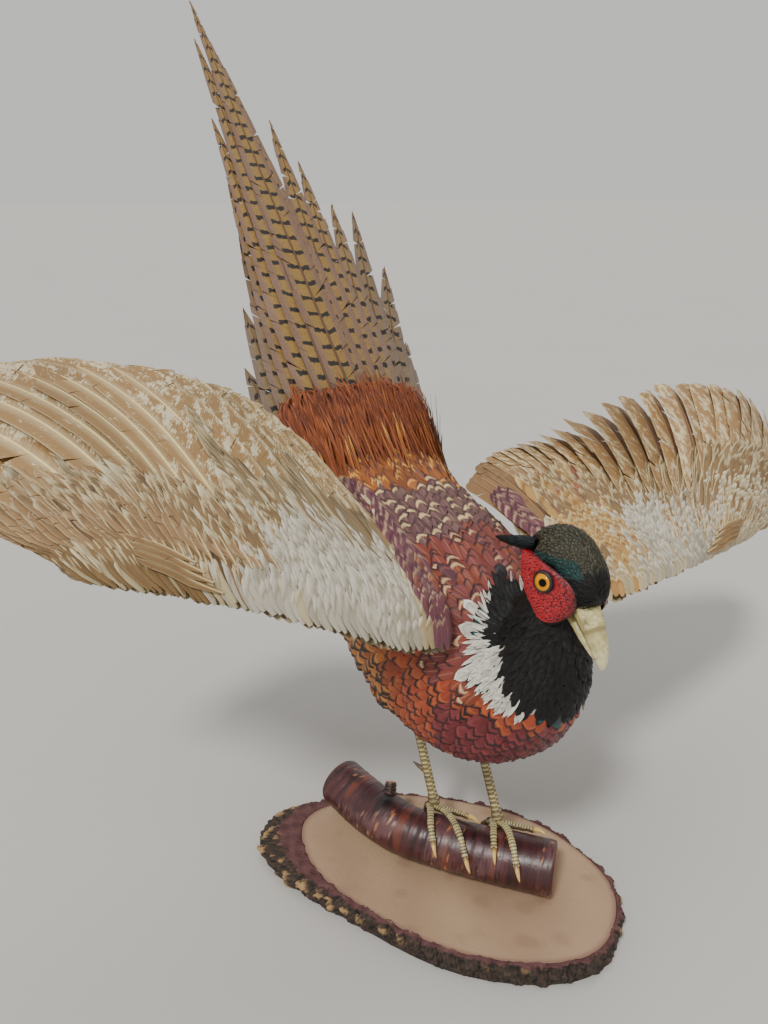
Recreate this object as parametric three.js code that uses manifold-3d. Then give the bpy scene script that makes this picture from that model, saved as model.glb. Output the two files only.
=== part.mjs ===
import * as THREE from "three";
import { mergeVertices } from "three/addons/utils/BufferGeometryUtils.js";
import Module from "manifold-3d";

// A mounted cock pheasant with raised wings and tail, standing on a branch on a slice of wood.
// Millimetres, +Z up. The origin is on the underside of the slice, near its middle, and the bird faces -Y.

const wasm = await Module();
wasm.setup();

const gap = 0.4;
const flatness = 0.15;
const degree = Math.PI / 180;

// The wood slice.
const sliceHeight = 17;
const sliceHalfLength = 114;
const sliceHalfWidth = 65;
const sliceTurn = 127 * degree;
const sliceCentre = [4, 3];
const barkThickness = 3;
const barkFlare = 1;
const barkHeelFlare = 1;
const barkLump = 30;
const outlineSteps = 36;

// The branch that the bird stands on.
const branchRadius = 18.5;
const branchLift = sliceHeight + branchRadius + gap;
const branchSides = 14;
const twigRadius = 4;
const twigLength = 8;

// The bird.
const middle = 22;
const eyeRadius = 6.8;
const headCentre = [18.2, -70.4, 268.5];
const headForward = new THREE.Vector3(-0.12, -0.99, 0.046).normalize();
const neckSideways = -5;
const tailRoot = [middle, 158, 281];
const tailElevation = 45.7 * degree;
const tailWidth = 30;
const tailThickness = 0.9;
const tailLayer = 1.35;
const tarsusRadius = 3.2;
const toeRadius = 2.5;

const feather = { tertials: 4, secondaries: 12, primaries: 10 };
const wingPart = { tertials: [0, 1 / 6], secondaries: [1 / 6, 1 / 2], primaries: [1 / 2, 1] };
const covertEdge = 0.46;
const vaneThickness = 1.3;

const colour = {
  wood: [0xcda67c, 0.8],
  bark: [0x3d332d, 0.95],
  cherry: [0x5c2a22, 0.35],
  copper: [0xa84a1c, 0.7],
  maroon: [0x5a1620, 0.6],
  blueBlack: [0x0d1418, 0.35],
  olive: [0x2e3327, 0.5],
  red: [0xb3121f, 0.45],
  horn: [0xd9cf9d, 0.4],
  amber: [0xe09a1a, 0.1],
  leg: [0x7d6a4a, 0.6],
  cream: [0xe2d9c3, 0.8],
  tan: [0xb99871, 0.8],
  fox: [0x8c3d17, 0.8],
  straw: [0x8c7649, 0.75],
};

const group = new THREE.Group();

function addNode(name, geometry, [hex, roughness]) {
  const material = new THREE.MeshStandardMaterial({ color: hex, roughness, metalness: 0 });
  const mesh = new THREE.Mesh(geometry, material);
  mesh.name = name;
  group.add(mesh);
}

// Solids for joining and cutting.

function solidOf(geometry) {
  const bare = new THREE.BufferGeometry();
  bare.setAttribute("position", geometry.getAttribute("position").clone());
  if (geometry.index) bare.setIndex(geometry.index.clone());
  const merged = mergeVertices(bare, 1e-4);
  const mesh = new wasm.Mesh({
    numProp: 3,
    vertProperties: merged.attributes.position.array,
    triVerts: new Uint32Array(merged.index.array),
  });
  return new wasm.Manifold(mesh);
}

function geometryOf(solid) {
  const largest = solid.simplify(flatness).decompose().sort((a, b) => b.volume() - a.volume())[0];
  const mesh = largest.getMesh();
  const geometry = new THREE.BufferGeometry();
  geometry.setAttribute("position", new THREE.BufferAttribute(mesh.vertProperties, 3));
  geometry.setIndex(new THREE.BufferAttribute(mesh.triVerts, 1));
  geometry.computeVertexNormals();
  return geometry;
}

function without(geometry, ...cutters) {
  return geometryOf(cutters.reduce((left, cutter) => left.subtract(solidOf(cutter)), solidOf(geometry)));
}

function joined(...pieces) {
  return geometryOf(pieces.map(solidOf).reduce((sum, piece) => sum.add(piece)));
}

// A closed body from rows of vertices: each row is a ring, and both end rings are capped.
function ringsToGeometry(rings) {
  const count = rings[0].length;
  const points = rings.flat();
  const faces = [];
  for (let row = 0; row < rings.length - 1; row += 1) {
    for (let i = 0; i < count; i += 1) {
      const a = row * count + i;
      const b = row * count + ((i + 1) % count);
      faces.push(a, b, b + count, a, b + count, a + count);
    }
  }
  for (const [row, order] of [[0, 1], [rings.length - 1, -1]]) {
    const centre = new THREE.Vector3();
    rings[row].forEach((point) => centre.addScaledVector(point, 1 / count));
    const tip = points.push(centre) - 1;
    for (let i = 0; i < count; i += 1) {
      const a = row * count + i;
      const b = row * count + ((i + 1) % count);
      if (order > 0) faces.push(tip, b, a);
      else faces.push(tip, a, b);
    }
  }
  return facingOut(points, faces);
}

function facingOut(points, faces) {
  const cross = new THREE.Vector3();
  let volume = 0;
  for (let i = 0; i < faces.length; i += 3) {
    cross.crossVectors(points[faces[i + 1]], points[faces[i + 2]]);
    volume += points[faces[i]].dot(cross);
  }
  if (volume < 0) faces.reverse();
  const geometry = new THREE.BufferGeometry().setFromPoints(points);
  geometry.setIndex(faces);
  geometry.computeVertexNormals();
  return geometry;
}

// A smooth function through rows of numbers that are evenly spaced over 0 to 1.
function throughRows(rows) {
  const width = rows[0].length;
  const curves = [];
  for (let start = 0; start < width; start += 3) {
    const points = rows.map((row) => new THREE.Vector3(row[start], row[start + 1] ?? 0, row[start + 2] ?? 0));
    curves.push(new THREE.CatmullRomCurve3(points, false, "catmullrom", 0.5));
  }
  return (t) => curves.flatMap((curve) => curve.getPoint(t).toArray()).slice(0, width);
}

// A rounded body in the plane x = 0. Each row of stations is y, z, half width, height above, depth below.
function loftBody(stations, { steps, around, grow = 0, square = 2 }) {
  const at = throughRows(stations);
  const rings = [];
  for (let step = 0; step <= steps; step += 1) {
    const t = step / steps;
    const [y, z, width, above, below] = at(t);
    const [y0, z0] = at(Math.max(0, t - 0.01));
    const [y1, z1] = at(Math.min(1, t + 0.01));
    const along = new THREE.Vector3(0, y1 - y0, z1 - z0).normalize();
    const up = new THREE.Vector3(0, -along.z, along.y);
    const push = step === 0 ? -grow : step === steps ? grow : 0;
    const ring = [];
    for (let i = 0; i < around; i += 1) {
      const angle = (i / around) * 2 * Math.PI;
      const across = Math.sign(Math.cos(angle)) * Math.abs(Math.cos(angle)) ** (2 / square);
      const rise = Math.sign(Math.sin(angle)) * Math.abs(Math.sin(angle)) ** (2 / square);
      const height = (rise > 0 ? above : below) + grow;
      const point = new THREE.Vector3((width + grow) * across, y, z);
      ring.push(point.addScaledVector(up, height * rise).addScaledVector(along, push));
    }
    rings.push(ring);
  }
  return ringsToGeometry(rings);
}

// A round tube along a curve whose radius follows a function of 0 to 1.
function taperedTube(curve, radiusAt, { steps, sides, squash = 1 }) {
  const frames = curve.computeFrenetFrames(steps, false);
  const rings = [];
  for (let step = 0; step <= steps; step += 1) {
    const centre = curve.getPointAt(step / steps);
    const radius = radiusAt(step / steps);
    const ring = [];
    for (let i = 0; i < sides; i += 1) {
      const angle = (i / sides) * 2 * Math.PI;
      const point = centre.clone().addScaledVector(frames.normals[step], radius * Math.cos(angle));
      ring.push(point.addScaledVector(frames.binormals[step], radius * squash * Math.sin(angle)));
    }
    rings.push(ring);
  }
  return ringsToGeometry(rings);
}

function curveThrough(...points) {
  return new THREE.CatmullRomCurve3(points.map((point) => new THREE.Vector3(...point)));
}

// The slice of wood: an egg-shaped oval, a little wavy, fuller at the end under the bird's left foot.
function sliceOutline(grow) {
  const shape = new THREE.Shape();
  for (let i = 0; i < outlineSteps; i += 1) {
    const angle = (i / outlineSteps) * 2 * Math.PI;
    const wave = 1 + 0.016 * Math.sin(3 * angle + 0.6) + 0.008 * Math.sin(7 * angle + 2);
    const fuller = 1 - 0.09 * Math.cos(angle);
    const x = (sliceHalfLength * wave + grow) * Math.cos(angle);
    const y = (sliceHalfWidth * fuller * wave + grow) * Math.sin(angle);
    const turned = new THREE.Vector2(x, y).rotateAround(new THREE.Vector2(), sliceTurn);
    turned.x += sliceCentre[0];
    turned.y += sliceCentre[1];
    if (i === 0) shape.moveTo(turned.x, turned.y);
    else shape.lineTo(turned.x, turned.y);
  }
  return shape;
}

function makeSlice() {
  return new THREE.ExtrudeGeometry(sliceOutline(0), { depth: sliceHeight, bevelEnabled: false });
}

// Bark stands round the slice, wider at the foot and thick with old scales at the far end.
function makeBark() {
  const inner = sliceOutline(gap).getPoints();
  const outer = sliceOutline(barkThickness).getPoints();
  const rings = [];
  for (let i = 0; i < outlineSteps; i += 1) {
    const angle = (i / outlineSteps) * 2 * Math.PI;
    const lump = Math.max(0, Math.cos(angle - 0.2)) ** 5;
    const heel = Math.max(0, -Math.cos(angle)) ** 2;
    const rough = 0.9 * Math.sin(11 * angle) + 0.7 * Math.sin(17 * angle + 1);
    const away = outer[i].clone().sub(inner[i]).normalize();
    const flare = barkFlare + barkLump * lump + barkHeelFlare * heel + rough;
    const under = inner[i].clone().addScaledVector(away, barkThickness / 2 + 8 * lump);
    const foot = outer[i].clone().addScaledVector(away, flare);
    const rim = outer[i].clone().addScaledVector(away, 14 * lump);
    rings.push([
      new THREE.Vector3(inner[i].x, inner[i].y, 0),
      new THREE.Vector3(under.x, under.y, 0),
      new THREE.Vector3(foot.x, foot.y, sliceHeight * 0.4),
      new THREE.Vector3(rim.x, rim.y, sliceHeight - 1.5),
      new THREE.Vector3(inner[i].x, inner[i].y, sliceHeight),
    ]);
  }
  const corners = rings[0].length;
  const points = rings.flat();
  const faces = [];
  for (let row = 0; row < outlineSteps; row += 1) {
    const next = (row + 1) % outlineSteps;
    for (let i = 0; i < corners; i += 1) {
      const j = (i + 1) % corners;
      faces.push(row * corners + i, row * corners + j, next * corners + j);
      faces.push(row * corners + i, next * corners + j, next * corners + i);
    }
  }
  return facingOut(points, faces);
}

// The branch bends away and up at one end, and carries the stub of a side twig.
const branchCurve = curveThrough(
  [-36, 96, branchLift + 4],
  [-30, 69, branchLift + 1],
  [-19.9, 36.1, branchLift],
  [2, 4, branchLift],
  [25.5, -22.5, branchLift],
  [50, -48.8, branchLift],
);

function makeBranch(grow = 0) {
  const swell = (t) => branchRadius - 0.5 + 0.5 * Math.sin(9 * t) + grow;
  const stem = taperedTube(branchCurve, swell, { steps: 10, sides: branchSides });
  const root = branchCurve.getPointAt(0.3);
  const lean = new THREE.Vector3(0.45, 0.5, 1).normalize();
  const reach = branchRadius + twigLength;
  const twig = new THREE.LineCurve3(root, root.clone().addScaledVector(lean, reach));
  return joined(stem, taperedTube(twig, () => twigRadius + grow, { steps: 1, sides: 8 }));
}

// The body of flesh and feathers. Rows: y, z, half width, height above, depth below.
const trunkStations = [
  [-60, 174, 16, 14, 14],
  [-50, 173, 38, 38, 34],
  [-26, 173, 55, 56, 53],
  [8, 178, 64, 68, 68],
  [44, 194, 69, 66, 80],
  [78, 218, 66, 52, 80],
  [108, 241, 57, 36, 56],
  [136, 262, 56, 22, 32],
  [158, 280, 62, 11, 17],
];
// The neck rises, so its rows give the throat side first and then the nape side.
const neckStations = [
  [-36, 170, 40, 34, 42],
  [-49, 186, 34, 31, 36],
  [-59, 210, 28, 29, 31],
  [-61, 234, 22, 23, 30],
  [-56, 254, 14.5, 18, 23],
];
const headStations = [
  [-31, 0, 8, 8, 10],
  [-25, 1, 16, 18, 18],
  [-13, 2, 19, 26, 24],
  [0, 2, 18.5, 27, 25],
  [12, 0, 15.2, 22, 23],
  [19.5, -4, 11, 15, 17],
  [24, -8, 6, 8, 9],
];

function atMiddle(geometry, sideways = 0) {
  return geometry.translate(middle + sideways, 0, 0);
}

const headUp = new THREE.Vector3(0, 0, 1).addScaledVector(headForward, -headForward.z).normalize();
const headSide = new THREE.Vector3().crossVectors(headForward, headUp);
const headFrame = new THREE.Matrix4()
  .makeBasis(headSide, headForward, headUp)
  .setPosition(...headCentre);

function onHead(geometry) {
  return geometry.applyMatrix4(headFrame);
}

function makeTrunk(grow = 0) {
  return atMiddle(loftBody(trunkStations, { steps: 12, around: 20, grow, square: 2.2 }));
}

function makeNeck(grow = 0) {
  return atMiddle(loftBody(neckStations, { steps: 6, around: 16, grow }), neckSideways);
}

function makeHead(grow = 0) {
  return onHead(loftBody(headStations, { steps: 8, around: 16, grow, square: 2.2 }));
}

// Head pieces are placed in the head's own frame: x to the bird's right, y ahead, z up.
const eyePlace = { x: 15, y: 2.1, z: 2.5 };

function makeEye(side, grow = 0) {
  const ball = new THREE.SphereGeometry(eyeRadius + grow, 10, 6);
  return onHead(ball.translate(side * eyePlace.x, eyePlace.y, eyePlace.z));
}

// The red wattle: a cushion round the eye, pointed behind, that hangs to a lobe below the bill's corner.
const wattleRows = [
  [13.5, 2, 3],
  [9.5, -2, 17],
  [4, -1.5, 19.5],
  [-3, -0.5, 20.5],
  [-10, 2, 16.5],
  [-17, 6, 11],
  [-22, 8, 5.5],
  [-25, 8.5, 1],
];

function makeWattle(side, grow = 0) {
  const at = throughRows(wattleRows);
  const steps = 8;
  const rings = [];
  for (let step = 0; step <= steps; step += 1) {
    const [z, y, half] = at(step / steps);
    const ring = [];
    for (let i = 0; i < 8; i += 1) {
      const angle = (i / 8) * 2 * Math.PI;
      const ahead = y + (half + grow) * Math.cos(angle);
      const thick = (0.9 + 0.035 * half + grow) * Math.sin(angle);
      const surface = 18.8 - 0.011 * (ahead + 6) ** 2 - 0.006 * z ** 2;
      ring.push(new THREE.Vector3(side * (surface + thick), ahead, z));
    }
    rings.push(ring);
  }
  return onHead(ringsToGeometry(rings));
}

// A tuft of feathers over each ear sweeps back.
function makeEarTuft(side, grow = 0) {
  const curve = curveThrough(
    [side * 12, -12, 17],
    [side * 14.5, -25, 14.5],
    [side * 15.5, -38, 11],
    [side * 15, -50, 7],
  );
  return onHead(taperedTube(curve, (t) => 4.8 * (1 - t) ** 0.6 + 0.5 + grow, { steps: 5, sides: 7 }));
}

// The bill: a strong arched upper half that hooks over the lower one.
const billUpperStations = [
  [13, -9, 7.6, 6.5, 4],
  [20, -15.5, 7, 6, 3.6],
  [25.5, -22.5, 5.8, 5.2, 3.2],
  [29, -29, 4.2, 4, 2.8],
  [31, -34.5, 2.2, 2.2, 2],
  [31.5, -38, 0.7, 0.7, 0.7],
];
const billLowerStations = [
  [9, -17, 6.4, 3, 3],
  [17, -23.5, 5.6, 2.6, 2.6],
  [23.5, -30, 3.6, 2, 2],
  [26.5, -34, 1.4, 1, 1],
];

function makeBillUpper(grow = 0) {
  return onHead(loftBody(billUpperStations, { steps: 7, around: 12, grow }));
}

function makeBillLower(grow = 0) {
  return onHead(loftBody(billLowerStations, { steps: 4, around: 10, grow }));
}

// Legs. Each leg: foot on the branch as distance along it and angle round it, then hock and thigh.
// Toes run over the branch the same way: outer, middle, inner and hind.
function onBranch(along, angle, clearance) {
  const u = along / branchCurve.getLength();
  const ahead = branchCurve.getTangentAt(u);
  const across = new THREE.Vector3(ahead.y, -ahead.x, 0).normalize();
  const radius = branchRadius + clearance;
  return branchCurve
    .getPointAt(u)
    .addScaledVector(across, radius * Math.sin(angle * degree))
    .add(new THREE.Vector3(0, 0, radius * Math.cos(angle * degree)));
}

const legs = {
  right: {
    ball: [85, -36],
    hock: [1, 52, 118],
    thigh: [-14, 40, 156],
    toes: [
      [[81, -36], [86, -5], [90, 24], [95, 54]],
      [[84, -36], [97, -16], [109, 22], [117, 66]],
      [[86, -38], [95, -42], [104, -38], [112, -27]],
      [[79, -44], [76, -66], [74, -86], [73, -102]],
    ],
  },
  left: {
    ball: [132, -38],
    hock: [31, 21, 118],
    thigh: [54, 10, 154],
    toes: [
      [[128, -38], [130, -12], [132, 16], [134, 40]],
      [[131, -38], [139, -12], [145, 22], [150, 60]],
      [[133, -40], [141, -46], [149, -45], [157, -38]],
      [[126, -46], [122, -68], [119, -88], [118, -102]],
    ],
  },
};
const clawLength = 11;
const toeClearance = toeRadius + 2 * gap;

function toePath(points) {
  return new THREE.CatmullRomCurve3(points.map(([along, angle]) => onBranch(along, angle, toeClearance)));
}

function makeFoot({ ball, toes }, grow = 0) {
  const radius = (t) => toeRadius * (1 - 0.3 * t) + grow;
  const pieces = toes.map((points) => taperedTube(toePath(points), radius, { steps: 4, sides: 6 }));
  const knuckle = new THREE.SphereGeometry(tarsusRadius + 1.2 + grow, 8, 6);
  const centre = onBranch(ball[0], ball[1], toeClearance + 1);
  const foot = joined(knuckle.translate(centre.x, centre.y, centre.z), ...pieces);
  return grow > 0 ? foot : without(foot, makeBranch(gap));
}

// A claw carries on from the toe's end and bends towards the branch.
function makeClaw(points) {
  const path = toePath(points);
  const tip = path.getPointAt(1);
  const ahead = path.getTangentAt(1);
  const inwards = branchCurve.getPointAt(points.at(-1)[0] / branchCurve.getLength()).sub(tip).normalize();
  const start = tip.clone().addScaledVector(ahead, gap);
  const middlePoint = start.clone().addScaledVector(ahead, clawLength / 2);
  const end = start.clone().addScaledVector(ahead, clawLength).addScaledVector(inwards, 1.2);
  const curve = new THREE.QuadraticBezierCurve3(start, middlePoint, end);
  return taperedTube(curve, (t) => 1.7 * (1 - t) + 0.3, { steps: 3, sides: 6 });
}

// The bare shank, with the cock's spur on its inner back side.
function makeTarsus({ ball, hock }, side) {
  const foot = onBranch(ball[0], ball[1], toeClearance + 1);
  const top = new THREE.Vector3(...hock);
  const shank = new THREE.LineCurve3(foot, top);
  const radius = (t) => tarsusRadius * (1 + 0.35 * t ** 3);
  const spurRoot = shank.getPointAt(0.35);
  const spurTip = spurRoot.clone().add(new THREE.Vector3(-side * 6, 10, 3));
  const spur = new THREE.LineCurve3(spurRoot, spurTip);
  return joined(
    taperedTube(shank, radius, { steps: 5, sides: 10 }),
    taperedTube(spur, (t) => 2.4 * (1 - t) + 0.3, { steps: 2, sides: 8 }),
  );
}

function makeThigh({ hock, thigh }, grow = 0) {
  const top = new THREE.Vector3(...thigh);
  const low = new THREE.Vector3(...hock);
  const path = new THREE.LineCurve3(top, low.addScaledVector(low.clone().sub(top).normalize(), -4));
  return taperedTube(path, (t) => 23 * (1 - t) ** 0.8 + 5.5 + grow, { steps: 5, sides: 14 });
}

// Wings. Ribs run back from the leading edge along the feathers. Rows: front x, y, z, then tip x, y, z,
// and then the thickness at the front. They go from the shoulder, by elbow and wrist, to the wing tip.
const ribs = {
  right: [
    [-30, -30, 218, -26, 100, 283, 30],
    [-62, -30, 228, -36, 122, 282, 24],
    [-112, -12, 250, -73, 132, 323, 17],
    [-152, 4, 264, -134, 123, 357, 13],
    [-172, 10, 271, -200, 152, 367, 10],
    [-192, 17, 277, -262, 150, 358, 7],
    [-208, 24, 281, -332, 128, 322, 5],
  ],
  left: [
    [74, -30, 216, 76, 104, 258, 30],
    [102, -36, 220, 118, 132, 264, 24],
    [152, -28, 218, 186, 140, 268, 17],
    [205, -12, 212, 259, 97, 308, 13],
    [226, -8, 212, 312, 80, 306, 10],
    [246, -2, 211, 366, 78, 280, 7],
    [262, 5, 209, 404, 70, 224, 5],
  ],
};
const camber = 0.1;

// A point of the wing: across runs 0 to 1 from shoulder to tip, back runs 0 to 1 along the rib,
// and level is 1 on the upper face and -1 on the lower face.
function wingPoint(at, across, back, level, grow) {
  const [fx, fy, fz, tx, ty, tz, thick] = at(across);
  const ahead = at(Math.min(1, across + 0.01));
  const behind = at(Math.max(0, across - 0.01));
  const front = new THREE.Vector3(fx, fy, fz);
  const chord = new THREE.Vector3(tx, ty, tz).sub(front);
  const span = new THREE.Vector3(ahead[0] - behind[0], ahead[1] - behind[1], ahead[2] - behind[2]);
  const up = new THREE.Vector3().crossVectors(span, chord).normalize();
  if (up.z < 0) up.negate();
  const nose = Math.min(1, back / 0.14 + 0.02) ** 0.5;
  const fall = Math.max(0, 1 - Math.max(0, back - 0.14) / 0.44) ** 1.4;
  const half = (vaneThickness + thick * nose * fall) / 2 + grow;
  const arch = camber * chord.length() * 4 * back * (1 - back);
  return front.addScaledVector(chord, back).addScaledVector(up, arch + level * half);
}

// A stretch of wing from one rib to another, with rounded feather tips on its back edge.
function wingStretch(side, { from, to, start, end, feathers, notch, columns, rows, grow = 0 }) {
  const at = throughRows(ribs[side]);
  const count = feathers * columns;
  const grid = [];
  for (let i = 0; i <= count; i += 1) {
    const across = from + ((to - from) * i) / count;
    const withinFeather = (i % columns) / columns;
    const tipLoss = notch(across) * (2 * withinFeather - 1) ** 2;
    const last = end - tipLoss;
    const upper = [];
    const lower = [];
    for (let j = 0; j <= rows.length - 1; j += 1) {
      const back = start + (last - start) * rows[j];
      upper.push(wingPoint(at, across, back, 1, grow));
      lower.unshift(wingPoint(at, across, back, -1, grow));
    }
    grid.push([...upper, ...lower]);
  }
  return ringsToGeometry(grid);
}

const evenRows = [0, 0.5, 1];
const armRows = [0, 0.04, 0.15, 0.35, 0.65, 1];

function makeArm(side, grow = 0) {
  return wingStretch(side, {
    from: 0, to: 0.985, start: 0, end: covertEdge, feathers: 9, columns: 2, rows: armRows,
    notch: () => 0.03, grow,
  });
}

function makeFlight(side, part, grow = 0) {
  const [from, to] = wingPart[part];
  const seam = 0.0012;
  const fingers = (across) => 0.035 + 0.5 * Math.max(0, across - 0.78);
  return wingStretch(side, {
    from: from + seam, to: to - seam, start: covertEdge + 0.003, end: 1, feathers: feather[part],
    columns: 2, rows: evenRows, notch: fingers, grow,
  });
}

// The thumb feathers lie on the leading edge past the wrist.
function makeAlula(side) {
  const at = throughRows(ribs[side]);
  const rings = [];
  const steps = 5;
  for (let step = 0; step <= steps; step += 1) {
    const t = step / steps;
    const half = 0.04 * Math.sin(Math.PI * (0.1 + 0.86 * t)) + 0.004;
    const across = 0.47 + 0.16 * t;
    const middleBack = 0.055 + 0.04 * t;
    rings.push([
      wingPoint(at, across, middleBack - half, 1, 2.2),
      wingPoint(at, across, middleBack + half, 1, 2.2),
      wingPoint(at, across, middleBack + half, 1, 1.2),
      wingPoint(at, across, middleBack - half, 1, 1.2),
    ]);
  }
  return ringsToGeometry(rings);
}

// The tail: long pointed feathers in layers, the middle ones on top.
// Rows: place across the root, then the tip's place along and across, from bird's right to bird's left.
const tailFeathers = [
  [-56, 86, -64],
  [-49, 140, -50],
  [-41, 208, -33],
  [-31, 262, -26],
  [-21, 330, -20],
  [-9, 424, -9],
  [6, 472, 0],
  [14, 408, 8],
  [22, 332, 34],
  [31, 288, 48],
  [39, 240, 64],
  [46, 234, 84],
  [53, 176, 94],
  [58, 94, 84],
];
const longestTailFeather = 6;
const tailRootAlong = 4;
const tailAlong = new THREE.Vector3(0, Math.cos(tailElevation), Math.sin(tailElevation));
const tailNormal = new THREE.Vector3(0, -Math.sin(tailElevation), Math.cos(tailElevation));

function onTail(along, across, height) {
  return new THREE.Vector3(...tailRoot)
    .addScaledVector(tailAlong, along)
    .addScaledVector(new THREE.Vector3(1, 0, 0), across)
    .addScaledVector(tailNormal, height);
}

function tailDepth(index) {
  return -tailLayer * 2 * Math.abs(index - longestTailFeather) + (index < longestTailFeather ? tailLayer : 0);
}

function makeTailFeather(index) {
  const [rootAcross, tipAlong, tipAcross] = tailFeathers[index];
  const steps = 6;
  const rings = [];
  for (let step = 0; step <= steps; step += 1) {
    const t = (step / steps) ** 0.7;
    const along = tailRootAlong + (tipAlong - tailRootAlong) * t;
    const across = rootAcross + (tipAcross - rootAcross) * t ** 1.3;
    const taper = Math.min(1, (1 - t) * 1.55) ** 0.75;
    const half = (tailWidth / 2) * taper * (0.72 + 0.28 * Math.min(1, t * 4)) + 0.5;
    const height = tailDepth(index);
    rings.push([
      onTail(along, across - half, height + tailThickness / 2),
      onTail(along, across + half, height + tailThickness / 2),
      onTail(along, across + half, height - tailThickness / 2),
      onTail(along, across - half, height - tailThickness / 2),
    ]);
  }
  return ringsToGeometry(rings);
}

// Long hair-like coverts cover the roots of the tail.
const covertStations = [
  [158.2, 280.2, 62, 11, 17],
  [172, 293, 66, 8, 18],
  [186, 307, 67, 4.5, 17],
  [198, 319, 66, 2.6, 14],
];

function makeTailCoverts() {
  const body = atMiddle(loftBody(covertStations, { steps: 6, around: 26, square: 2.6 }));
  const deepest = tailDepth(tailFeathers.length - 1) - tailThickness;
  const block = [
    [-72, tailRootAlong - gap], [72, tailRootAlong - gap], [110, 90], [-110, 90],
  ];
  const rings = [deepest, tailThickness].map((height) =>
    block.map(([across, along]) => onTail(along, across, height)));
  return without(body, makeTrunk(gap), ringsToGeometry(rings));
}

// Assembly.
addNode("base_wood", makeSlice(), colour.wood);
addNode("base_bark", makeBark(), colour.bark);
addNode("perch_branch", makeBranch(), colour.cherry);

const sides = { right: 1, left: -1 };
const wingCutters = Object.keys(sides).flatMap((side) => [
  makeArm(side, gap),
  makeFlight(side, "tertials", gap),
  makeFlight(side, "secondaries", gap),
]);
const thighCutters = Object.values(legs).map((leg) => makeThigh(leg, gap));
const eyeCutters = Object.values(sides).map((side) => makeEye(side, gap));
const wattleCutters = Object.values(sides).map((side) => makeWattle(side, gap));
const tuftCutters = Object.values(sides).map((side) => makeEarTuft(side, gap));

addNode("trunk", without(makeTrunk(), ...wingCutters, ...thighCutters), colour.copper);
addNode("neck", without(makeNeck(), makeTrunk(gap), ...wingCutters), colour.blueBlack);
addNode(
  "head",
  without(makeHead(), makeNeck(gap), makeBillUpper(gap), makeBillLower(3 * gap),
    ...eyeCutters, ...wattleCutters, ...tuftCutters),
  colour.olive,
);
addNode("bill_upper", makeBillUpper(), colour.horn);
addNode("bill_lower", without(makeBillLower(), makeBillUpper(gap)), colour.horn);

for (const [side, sign] of Object.entries(sides)) {
  const leg = legs[side];
  addNode(`eye_${side}`, makeEye(sign), colour.amber);
  addNode(`wattle_${side}`, without(makeWattle(sign), makeEye(sign, gap)), colour.red);
  addNode(`ear_tuft_${side}`, without(makeEarTuft(sign), makeWattle(sign, gap)), colour.blueBlack);
  addNode(`leg_${side}_thigh`, makeThigh(leg), colour.copper);
  addNode(`leg_${side}_shank`, without(makeTarsus(leg, sign), makeTrunk(gap), makeThigh(leg, gap), makeFoot(leg, gap)),
    colour.leg);
  addNode(`foot_${side}`, makeFoot(leg), colour.leg);
  leg.toes.forEach((points, i) => addNode(`claw_${side}_${i + 1}`, makeClaw(points), colour.horn));
  addNode(`wing_${side}_arm`, makeArm(side), colour.cream);
  for (const part of Object.keys(wingPart)) {
    addNode(`wing_${side}_${part}`, makeFlight(side, part), colour.tan);
  }
  addNode(`wing_${side}_alula`, makeAlula(side), colour.tan);
}

addNode("tail_coverts", makeTailCoverts(), colour.fox);
tailFeathers.forEach((row, i) => {
  addNode(`tail_feather_${String(i + 1).padStart(2, "0")}`, makeTailFeather(i), colour.straw);
});

export default group;
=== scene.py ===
import math

import bmesh
import bpy
import numpy as np
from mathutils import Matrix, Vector
from mathutils.bvhtree import BVHTree
from mathutils.kdtree import KDTree


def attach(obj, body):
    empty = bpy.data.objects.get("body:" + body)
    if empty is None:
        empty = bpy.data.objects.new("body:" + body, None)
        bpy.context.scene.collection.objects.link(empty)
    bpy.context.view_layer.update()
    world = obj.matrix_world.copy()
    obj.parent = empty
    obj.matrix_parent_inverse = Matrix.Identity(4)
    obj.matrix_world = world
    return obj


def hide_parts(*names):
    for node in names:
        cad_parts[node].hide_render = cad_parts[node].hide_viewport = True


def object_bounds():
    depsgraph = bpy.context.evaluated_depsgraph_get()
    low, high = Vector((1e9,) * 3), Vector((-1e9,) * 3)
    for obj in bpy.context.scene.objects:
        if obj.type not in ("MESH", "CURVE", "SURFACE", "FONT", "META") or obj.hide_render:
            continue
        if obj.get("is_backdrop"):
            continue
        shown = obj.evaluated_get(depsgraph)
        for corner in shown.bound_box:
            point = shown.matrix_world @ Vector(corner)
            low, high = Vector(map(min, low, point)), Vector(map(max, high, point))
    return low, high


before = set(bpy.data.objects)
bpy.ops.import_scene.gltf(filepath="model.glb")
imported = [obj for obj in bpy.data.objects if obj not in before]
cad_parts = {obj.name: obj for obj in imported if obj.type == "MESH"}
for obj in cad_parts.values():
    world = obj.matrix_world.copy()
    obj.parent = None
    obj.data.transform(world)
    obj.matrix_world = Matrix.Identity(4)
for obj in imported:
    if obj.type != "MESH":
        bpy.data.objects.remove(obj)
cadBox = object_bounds()
mm = 0.001
dice = np.random.default_rng(7)
sides = {"right": 1, "left": -1}  # which way is outward, against the bird's right


def tone(code):  # a hex code as linear red, green and blue; anything else passes through
    if not isinstance(code, str):
        return code
    parts = [int(code[i:i + 2], 16) / 255 for i in (0, 2, 4)]
    return np.array([p / 12.92 if p < 0.04 else ((p + 0.055) / 1.055) ** 2.4 for p in parts])


def unit(v):
    return v / np.maximum(np.linalg.norm(v, axis=-1, keepdims=True), 1e-12)


def smooth(low, high, value):
    t = np.clip((value - low) / (high - low), 0, 1)
    return t * t * (3 - 2 * t)


def blendTone(a, b, amount):
    amount = np.asarray(amount)[..., None]
    return tone(a) * (1 - amount) + tone(b) * amount


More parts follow.
